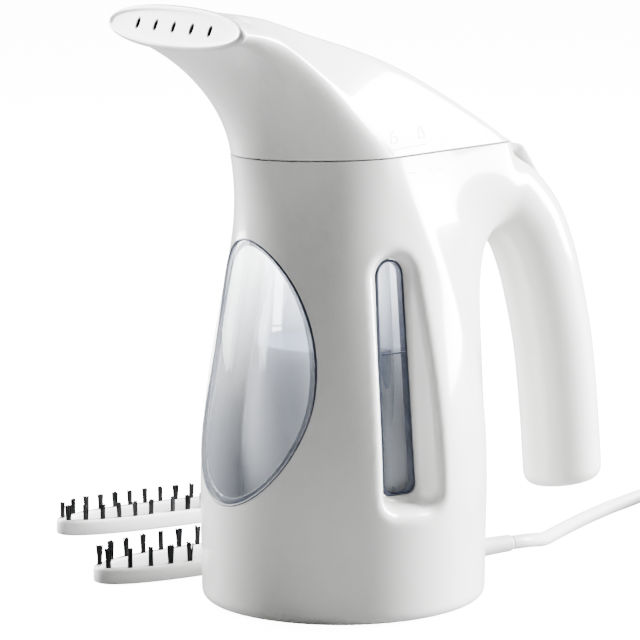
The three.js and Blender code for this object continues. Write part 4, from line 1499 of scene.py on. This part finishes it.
@dataclass
class Marks(Assembly):
    """Faint open and closed lock signs over the seam and aligning strokes under it, on both flanks."""

    width: float = 0.15
    over: tuple = (
        ((-1.6, 183.6), (2.0, 183.7), (2.0, 186.0), (-1.6, 185.9), (-1.6, 183.6)),
        ((-1.2, 186.0), (-1.2, 187.4), (-0.2, 188.2), (1.0, 187.6)),
        ((15.0, 184.2), (18.6, 184.3), (18.6, 186.6), (15.0, 186.5), (15.0, 184.2)),
        ((15.6, 186.6), (15.8, 187.9), (16.8, 188.6), (17.8, 188.0), (18.0, 186.7)),
        ((-1.4, 181.2), (19.0, 181.6)),
    )
    under: tuple = (((6.0, 171.7), (10.5, 171.7)), ((18.5, 171.4), (21.0, 171.4)), ((22.5, 171.4), (27.0, 171.4)))

    def stroke(self, target: bpy.types.Object, side: Side, corners: Sequence[tuple[float, float]]) -> Points:
        """A line of points laid on a flank of a piece, seen square from its side."""
        at = np.array(corners)
        reach = np.concatenate([[0], np.cumsum(np.linalg.norm(np.diff(at, axis=0), axis=1))])
        line = []
        for along in np.linspace(0, reach[-1], max(3, int(reach[-1] / 0.45))):
            y, z = (float(np.interp(along, reach, at[:, k])) for k in range(2))
            start = Vector((side.value * 90, y, z)) * MM
            hit, place, _, _ = target.ray_cast(start, Vector((-side.value, 0, 0)))
            if hit:
                line.append(tuple(c / MM for c in place))
        return np.array(line)

    def build(self) -> None:
        """Lays the strokes of both flanks on the head and on the body."""
        for name, target, body, strokes in (
            ("lock_marks", "casing_head", Body.HEAD, self.over),
            ("aligning_marks", "casing_body", Body.BASE, self.under),
        ):
            points, faces = [], []
            for side in Side:
                for corners in strokes:
                    line = self.stroke(bpy.data.objects[target], side, corners)
                    more, sides = tube(line, self.width, 6)
                    faces += [tuple(k + len(points) for k in face) for face in sides]
                    points += [tuple(p) for p in more]
            self.keep(mesh_object(name, points, faces, 60), body, MARK)


# ---- Switch ---------------------------------------------------------------------------------------------


@dataclass
class RockerSwitch(Assembly):
    """The rocker on the handle's shoulder."""

    wide: float = 12.0
    long: float = 17.4
    deep: float = 6.0
    proud: float = 1.4
    tilt: float = -6.0

    def build(self) -> None:
        """Makes the rocker with a dished top and soft edges."""
        body = BodyCasing()
        rings = []
        layers = [(0.8, -self.deep), (0.1, -self.deep + 0.8), (0, -1.5), (0, -0.7)]
        layers += [(0.35, -0.2), (1.1, 0), (2.2, -0.1), (3.6, -0.35)]
        for inset, rise in layers:
            rings.append((superoval(self.wide / 2 - inset, self.long / 2 - inset, 5.0, 64), rise + self.proud))
        turn = Matrix.Rotation(math.radians(body.switch_slope), 3, "X")
        tip = Matrix.Rotation(math.radians(self.tilt), 3, "X")
        place = Vector((0, body.switch_y, body.switch_z))
        solid = [[tuple(turn @ (tip @ Vector((x, y, rise))) + place) for x, y in flat] for flat, rise in rings]
        self.keep(mesh_object("rocker_key", *loft(solid), 50), Body.ROCKER, SWITCH, "switch_rocker")


# ---- Repeated parts by geometry nodes ---------------------------------------------------------------------


def geometry_tree(name: str, inputs: dict[str, tuple[str, object]]):
    """Makes a geometry node tree with a geometry input and output and named inputs.

    Args:
        name: the tree's name.
        inputs: each further input's socket type and starting value.

    Returns:
        The tree, its helper, its input node and its output node.
    """
    group = bpy.data.node_groups.new(name, "GeometryNodeTree")
    group.interface.new_socket("Geometry", in_out="INPUT", socket_type="NodeSocketGeometry")
    for label, (kind, value) in inputs.items():
        socket = group.interface.new_socket(label, in_out="INPUT", socket_type=kind)
        if value is not None:
            socket.default_value = value
    group.interface.new_socket("Geometry", in_out="OUTPUT", socket_type="NodeSocketGeometry")
    tree = NodeTree(group)
    return group, tree, tree.add("NodeGroupInput"), tree.add("NodeGroupOutput")


def tuft_tree() -> bpy.types.NodeTree:
    """Plants a bundle of bristles at every point.

    Returns:
        The geometry node tree.
    """
    group, tree, source, sink = geometry_tree(
        "bristle_tufts",
        {
            "Bristles": ("NodeSocketInt", 14),
            "Tuft Radius": (FLOAT, 0.001),
            "Bristle Radius": (FLOAT, 0.0003),
            "Bristle Length": (FLOAT, 0.008),
            "Splay": (FLOAT, 0.1),
            "Seed": ("NodeSocketInt", 7),
            "Finish": ("NodeSocketMaterial", None),
        },
    )
    get = source.outputs
    copies = tree.add(
        "GeometryNodeDuplicateElements", {"Geometry": get["Geometry"], "Amount": get["Bristles"]}, domain="POINT"
    )
    rank = copies.outputs["Duplicate Index"]
    angle = tree.math("MULTIPLY", rank, 2.39996)
    share = tree.math("SQRT", tree.math("DIVIDE", tree.math("ADD", rank, 0.5), get["Bristles"]))
    reach = tree.math("MULTIPLY", share, get["Tuft Radius"])
    aside = tree.math("MULTIPLY", tree.math("COSINE", angle), reach)
    along = tree.math("MULTIPLY", tree.math("SINE", angle), reach)
    offset = tree.add("ShaderNodeCombineXYZ", {"X": aside, "Y": along})
    moved = tree.add("GeometryNodeSetPosition", {"Geometry": copies.outputs["Geometry"], "Offset": offset.outputs[0]})
    cone = tree.add(
        "GeometryNodeMeshCone",
        {
            "Vertices": 6,
            "Radius Top": get["Bristle Radius"],
            "Radius Bottom": get["Bristle Radius"],
            "Depth": get["Bristle Length"],
        },
    )
    lean = tree.math("MULTIPLY", share, get["Splay"])
    jitter = tree.add(
        "FunctionNodeRandomValue",
        {"Min": (-0.05, -0.05, 0.0), "Max": (0.05, 0.05, 3.1), "Seed": get["Seed"]},
        data_type="FLOAT_VECTOR",
    )
    tip_x = tree.math("MULTIPLY", tree.math("SINE", angle), tree.math("MULTIPLY", lean, -1.0))
    tip_y = tree.math("MULTIPLY", tree.math("COSINE", angle), lean)
    turn = tree.add("ShaderNodeCombineXYZ", {"X": tip_x, "Y": tip_y})
    mix = tree.add("ShaderNodeVectorMath", {0: turn.outputs[0], 1: jitter.outputs[0]}, operation="ADD")
    height = tree.add("FunctionNodeRandomValue", {2: 0.9, 3: 1.0, "Seed": get["Seed"]}, data_type="FLOAT")
    scale = tree.add("ShaderNodeCombineXYZ", {"X": 1.0, "Y": 1.0, "Z": height.outputs[1]})
    placed = tree.add(
        "GeometryNodeInstanceOnPoints",
        {
            "Points": moved.outputs[0],
            "Instance": cone.outputs["Mesh"],
            "Rotation": mix.outputs[0],
            "Scale": scale.outputs[0],
        },
    )
    real = tree.add("GeometryNodeRealizeInstances", {"Geometry": placed.outputs[0]})
    dressed = tree.add("GeometryNodeSetMaterial", {"Geometry": real.outputs[0], "Material": get["Finish"]})
    group.links.new(dressed.outputs[0], sink.inputs[0])
    return group


def screw_tree() -> bpy.types.NodeTree:
    """Places a screw at every point, upright or upside down by the point's flip.

    Returns:
        The geometry node tree.
    """
    group, tree, source, sink = geometry_tree(
        "screws",
        {
            "Screw": ("NodeSocketObject", None),
            "Size": (FLOAT, 1.0),
            "Flip": (FLOAT, 0.0),
            "Seed": ("NodeSocketInt", 3),
            "Finish": ("NodeSocketMaterial", None),
        },
    )
    get = source.outputs
    pattern = tree.add("GeometryNodeObjectInfo", {"Object": get["Screw"], "As Instance": True})
    spin = tree.add("FunctionNodeRandomValue", {2: 0.0, 3: 6.28, "Seed": get["Seed"]}, data_type="FLOAT")
    turn = tree.add("ShaderNodeCombineXYZ", {"X": tree.math("MULTIPLY", get["Flip"], math.pi), "Z": spin.outputs[1]})
    size = tree.add("ShaderNodeCombineXYZ", {"X": get["Size"], "Y": get["Size"], "Z": get["Size"]})
    placed = tree.add(
        "GeometryNodeInstanceOnPoints",
        {
            "Points": get["Geometry"],
            "Instance": pattern.outputs["Geometry"],
            "Rotation": turn.outputs[0],
            "Scale": size.outputs[0],
        },
    )
    real = tree.add("GeometryNodeRealizeInstances", {"Geometry": placed.outputs[0]})
    dressed = tree.add("GeometryNodeSetMaterial", {"Geometry": real.outputs[0], "Material": get["Finish"]})
    group.links.new(dressed.outputs[0], sink.inputs[0])
    return group


def grown(
    name: str, places: Iterable[Sequence[float]], tree: bpy.types.NodeTree, values: dict[str, object]
) -> bpy.types.Object:
    """Runs a geometry node tree on a set of points and settles the result.

    Args:
        name: the piece's name.
        places: points in millimetres.
        tree: the geometry node tree.
        values: the tree's inputs by name.

    Returns:
        The plain mesh object.
    """
    mesh = bpy.data.meshes.new(name)
    mesh.from_pydata([tuple(c * MM for c in p) for p in places], [], [])
    obj = bpy.data.objects.new(name, mesh)
    bpy.context.scene.collection.objects.link(obj)
    modifier = obj.modifiers.new(tree.name, "NODES")
    modifier.node_group = tree
    for socket in tree.interface.items_tree:
        if socket.item_type == "SOCKET" and socket.in_out == "INPUT" and socket.name in values:
            modifier[socket.identifier] = values[socket.name]
    settle(obj)
    shade(obj, 40)
    return obj


@dataclass
class Screws(Assembly):
    """Cross-head screws of the deck, the base and the head's collar."""

    head_radius: float = 2.8
    head_high: float = 1.6
    shank: float = 1.3
    long: float = 10.0
    short: float = 2.6

    def pattern(self, long: float) -> bpy.types.Object:
        """One pan-head screw with a cross recess, its seat at the origin."""
        turn = np.linspace(0, 2 * math.pi, 28, endpoint=False)
        profile = [(0.5, -long), (self.shank, -long + 1.6), (self.shank, 0), (self.head_radius, 0)]
        profile += [(self.head_radius, 0.5), (2.6, 0.95), (2.1, 1.35), (1.4, self.head_high - 0.05)]
        rings = [np.stack([r * np.cos(turn), r * np.sin(turn), np.full(28, z)], axis=1) for r, z in profile]
        screw = mesh_object("screw_pattern", *loft(rings), 35)
        for a, b in ((1.5, 0.36), (0.36, 1.5)):
            carve(screw, box_tool((-a, -b, 0.6), (a, b, 3)), 35)
        return screw

    def build(self) -> None:
        """Places the screws, one piece for each body and direction."""
        tree = screw_tree()
        reach = 24.0
        base = [(reach * math.cos(a), reach * math.sin(a), 1.3) for a in np.radians((0, 90, 180, 270))]
        deck = [(0, 30, 171.8), (-22, 22, 171.8), (22, 22, 171.8)]
        collar = [(-20, 18, 181.1), (20, 18, 181.1)]
        sets = (
            ("deck_screws", Body.BASE, deck, 0.0, [f"deck_screw_{i}" for i in (1, 2, 3)]),
            ("base_screws", Body.BASE, base, 1.0, [f"base_screw_{i}" for i in (1, 2, 3, 4)]),
            ("collar_screws", Body.HEAD, collar, 0.0, ["collar_screw_1", "collar_screw_2"]),
        )
        for name, body, places, flip, nodes in sets:
            size = 0.78 if flip else 1.0
            pattern = self.pattern(self.short if body is Body.HEAD else self.long)
            values = {"Screw": pattern, "Size": size, "Flip": flip, "Finish": STEEL.material()}
            self.keep(grown(name, places, tree, values), body, STEEL, *nodes)
            discard(pattern)


@dataclass
class Brush(Assembly):
    """A brush attachment: an oval frame with tufts of bristles."""

    name: str
    body: Body
    x: float
    y: float
    turn: float
    half: float
    long: float
    tufts: int
    tall: float
    bar: float = 4.6
    high: float = 6.6

    def oval(self, inset: float, z: float, count: int = 120) -> Points:
        """One closed line of the frame at a distance inside its outline."""
        flat = superoval(self.half - inset, self.long - inset, 2.3, count)
        a = math.radians(self.turn)
        x = self.x + flat[:, 0] * math.cos(a) - flat[:, 1] * math.sin(a)
        y = self.y + flat[:, 0] * math.sin(a) + flat[:, 1] * math.cos(a)
        return np.stack([x, y, np.full(count, z)], axis=1)

    def band(self, name: str, profile: Sequence[tuple[float, float]]) -> bpy.types.Object:
        """A closed band round the oval with a section given as inset and height."""
        return mesh_object(name, *loft([self.oval(i, z) for i, z in profile], closed=True), 50)

    def tuft_places(self) -> list[tuple[float, ...]]:
        """Evenly spaced tuft places along the middle of the bar."""
        line = self.oval(self.bar / 2, self.high + 0.9, 720)
        steps = np.linalg.norm(np.diff(line, axis=0, append=line[:1]), axis=1)
        reach = np.concatenate([[0], np.cumsum(steps)])
        closed = np.concatenate([line, line[:1]])
        wanted = (np.arange(self.tufts) + 0.25) / (self.tufts + 0.4) * reach[-1]
        return [tuple(np.interp(w, reach, closed[:, k]) for k in range(3)) for w in wanted]

    def build(self) -> None:
        """Makes the frame, the tuft bases and the bristles."""
        b, h = self.bar, self.high
        frame_profile = [(0.9, 0.05), (0.25, 0.3), (0.0, 0.9), (0.0, h - 1.4), (0.3, h - 0.5), (0.9, h - 0.05)]
        frame_profile += [(1.3, h), (1.5, h - 0.35), (b - 1.5, h - 0.35), (b - 1.3, h), (b - 0.9, h - 0.05)]
        frame_profile += [(b - 0.3, h - 0.5), (b, h - 1.4), (b, 0.9), (b - 0.25, 0.3), (b - 0.9, 0.05)]
        ring = self.band(f"frame_{self.name}", frame_profile)
        self.keep(ring, self.body, BRUSH_WHITE, f"brush_frame_{self.name}")
        places = self.tuft_places()
        values = {
            "Bristles": 19,
            "Tuft Radius": 0.98 * MM,
            "Bristle Radius": 0.25 * MM,
            "Bristle Length": (self.tall - 0.4) * MM,
            "Splay": 0.07,
            "Seed": 11,
            "Finish": BRISTLE.material(),
        }
        low = [(x, y, h - 0.2) for x, y, _ in places]
        hairs = grown(f"bristles_{self.name}", low, TREES["tufts"], values)
        self.keep(hairs, self.body, BRISTLE, f"brush_bristles_{self.name}")


TREES = {"tufts": tuft_tree()}


# ---- Small base parts -------------------------------------------------------------------------------------


@dataclass
class Feet(Assembly):
    """Four rubber feet with a moulded ring."""

    radius: float = 5.0
    reach: float = 41.0

    def build(self) -> None:
        """Makes one turned foot for each corner."""
        turn = np.linspace(0, 2 * math.pi, 40, endpoint=False)
        profile = [(3.4, 0.3), (3.6, 0.02), (4.5, 0.0), (4.9, 0.25), (5.0, 0.6), (5.0, 1.1)]
        for i, angle in enumerate((45, 135, 225, 315)):
            x, y = self.reach * math.cos(math.radians(angle)), self.reach * math.sin(math.radians(angle))
            rings = [
                np.stack([x + r * np.cos(turn), y + r * np.sin(turn), np.full(40, z)], axis=1) for r, z in profile
            ]
            foot = mesh_object(f"rubber_foot_{i + 1}", *loft(rings), 50)
            self.keep(foot, Body.BASE, RUBBER, f"foot_{i + 1}")


# ---- Studio -----------------------------------------------------------------------------------------------


@dataclass
class Studio:
    """A pale floor and soft light from both sides, with the darker room behind the camera."""

    azimuth: float = 55.0
    ambient: float = 0.14
    floor_glow: float = 14.0
    floor_reach: float = 4000.0
    inside_watts: float = 0.9

    def around(self, turn: float, rise: float, distance: float) -> Vector:
        """A place round the object, turned to the camera's right by degrees and raised by degrees."""
        a = math.radians(self.azimuth + turn)
        e = math.radians(rise)
        return Vector((math.sin(a) * math.cos(e), -math.cos(a) * math.cos(e), math.sin(e))) * distance

    def softbox(
        self, name: str, turn: float, rise: float, distance: float, wide: float, tall: float, watts: float
    ) -> None:
        """One rectangular soft light aimed at the object."""
        data = bpy.data.lights.new(name, "AREA")
        data.shape = "RECTANGLE"
        data.size = wide
        data.size_y = tall
        data.energy = watts
        light = bpy.data.objects.new(name, data)
        place = self.around(turn, rise, distance) + Vector((0, 0, 0.12))
        light.location = place
        light.rotation_euler = (place - Vector((0, 0.02, 0.12))).to_track_quat("Z", "Y").to_euler()
        bpy.context.scene.collection.objects.link(light)

    def inside(self) -> None:
        """The light that the thin white casing lets through to the tank."""
        data = bpy.data.lights.new("light_inside", "POINT")
        data.energy = self.inside_watts
        data.shadow_soft_size = 0.012
        light = bpy.data.objects.new("light_inside", data)
        light.location = (0.0, -0.014, 0.146)
        bpy.context.scene.collection.objects.link(light)

    def world(self) -> None:
        """White to the camera, a softer grey to everything else."""
        world = bpy.data.worlds.new("studio")
        world.use_nodes = True
        bpy.context.scene.world = world
        world.node_tree.nodes.clear()
        tree = NodeTree(world.node_tree)
        seen = tree.add("ShaderNodeLightPath").outputs["Is Camera Ray"]
        room = tree.add("ShaderNodeBackground", {"Color": (1, 1, 1, 1), "Strength": self.ambient})
        white = tree.add("ShaderNodeBackground", {"Color": (1, 1, 1, 1), "Strength": 1.0})
        mix = tree.add("ShaderNodeMixShader", {0: seen, 1: room.outputs[0], 2: white.outputs[0]})
        output = tree.add("ShaderNodeOutputWorld", {"Surface": mix.outputs[0]})
        world.node_tree.links.new(mix.outputs[0], output.inputs["Surface"])

    def floor(self) -> None:
        """A wide pale floor."""
        turn = np.linspace(0, 2 * math.pi, 96, endpoint=False)
        x, y = self.floor_reach * np.cos(turn), self.floor_reach * np.sin(turn)
        rings = [np.stack([x, y, np.full(96, z)], axis=1) for z in (-20.0, 0.0)]
        floor = mesh_object("floor", *loft(rings))
        floor.data.materials.append(self.floor_paper())

    def floor_paper(self) -> bpy.types.Material:
        """Pale paper that glows a little to the camera and throws little light back on the object."""
        paper = bpy.data.materials.new("floor_pale")
        paper.use_nodes = True
        paper.node_tree.nodes.clear()
        tree = NodeTree(paper.node_tree)
        seen = tree.add("ShaderNodeLightPath").outputs["Is Camera Ray"]
        tone = tree.blend(seen, rgba((0.16, 0.16, 0.16)), rgba((0.9, 0.9, 0.9)))
        glow = tree.math("MULTIPLY", seen, self.floor_glow)
        shader = tree.add(
            "ShaderNodeBsdfPrincipled",
            {"Base Color": tone, "Roughness": 0.7, "Emission Color": (1, 1, 1, 1), "Emission Strength": glow},
        )
        tree.add("ShaderNodeOutputMaterial", {"Surface": shader.outputs[0]})
        return paper

    def build(self) -> None:
        """Makes the world, the floor and the lights."""
        self.world()
        self.floor()
        self.softbox("light_right", 109, 24, 1.6, 0.6, 1.5, 320)
        self.softbox("light_left", -125, 22, 1.6, 0.8, 1.5, 140)
        self.softbox("light_top", 150, 66, 1.8, 1.0, 1.0, 48)
        self.inside()


def dress_cad_nodes() -> None:
    """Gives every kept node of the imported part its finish."""
    for name, finish in CAD_FINISHES.items():
        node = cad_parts[name]
        node.data.materials.clear()
        node.data.materials.append(finish.material())
        log.info("%-24s kept, %s", name, finish.name)


def main() -> None:
    """Builds the steamer in order."""
    scene_camera()
    assemblies: list[Assembly] = [
        MainsLead(),
        BodyCasing(),
        WaterTank(),
        SteamHead(),
        Marks(),
        RockerSwitch(),
        Screws(),
        Feet(),
        Brush("fine", Body.FINE_BRUSH, x=-153.5, y=7.4, turn=-4, half=13, long=48, tufts=26, tall=7.2),
        Brush("wide", Body.WIDE_BRUSH, x=-71.8, y=-25, turn=0, half=14.3, long=47.5, tufts=22, tall=8.6),
    ]
    for assembly in assemblies:
        assembly.build()
    dress_cad_nodes()
    Studio().build()


if __name__ == "__main__":
    main()
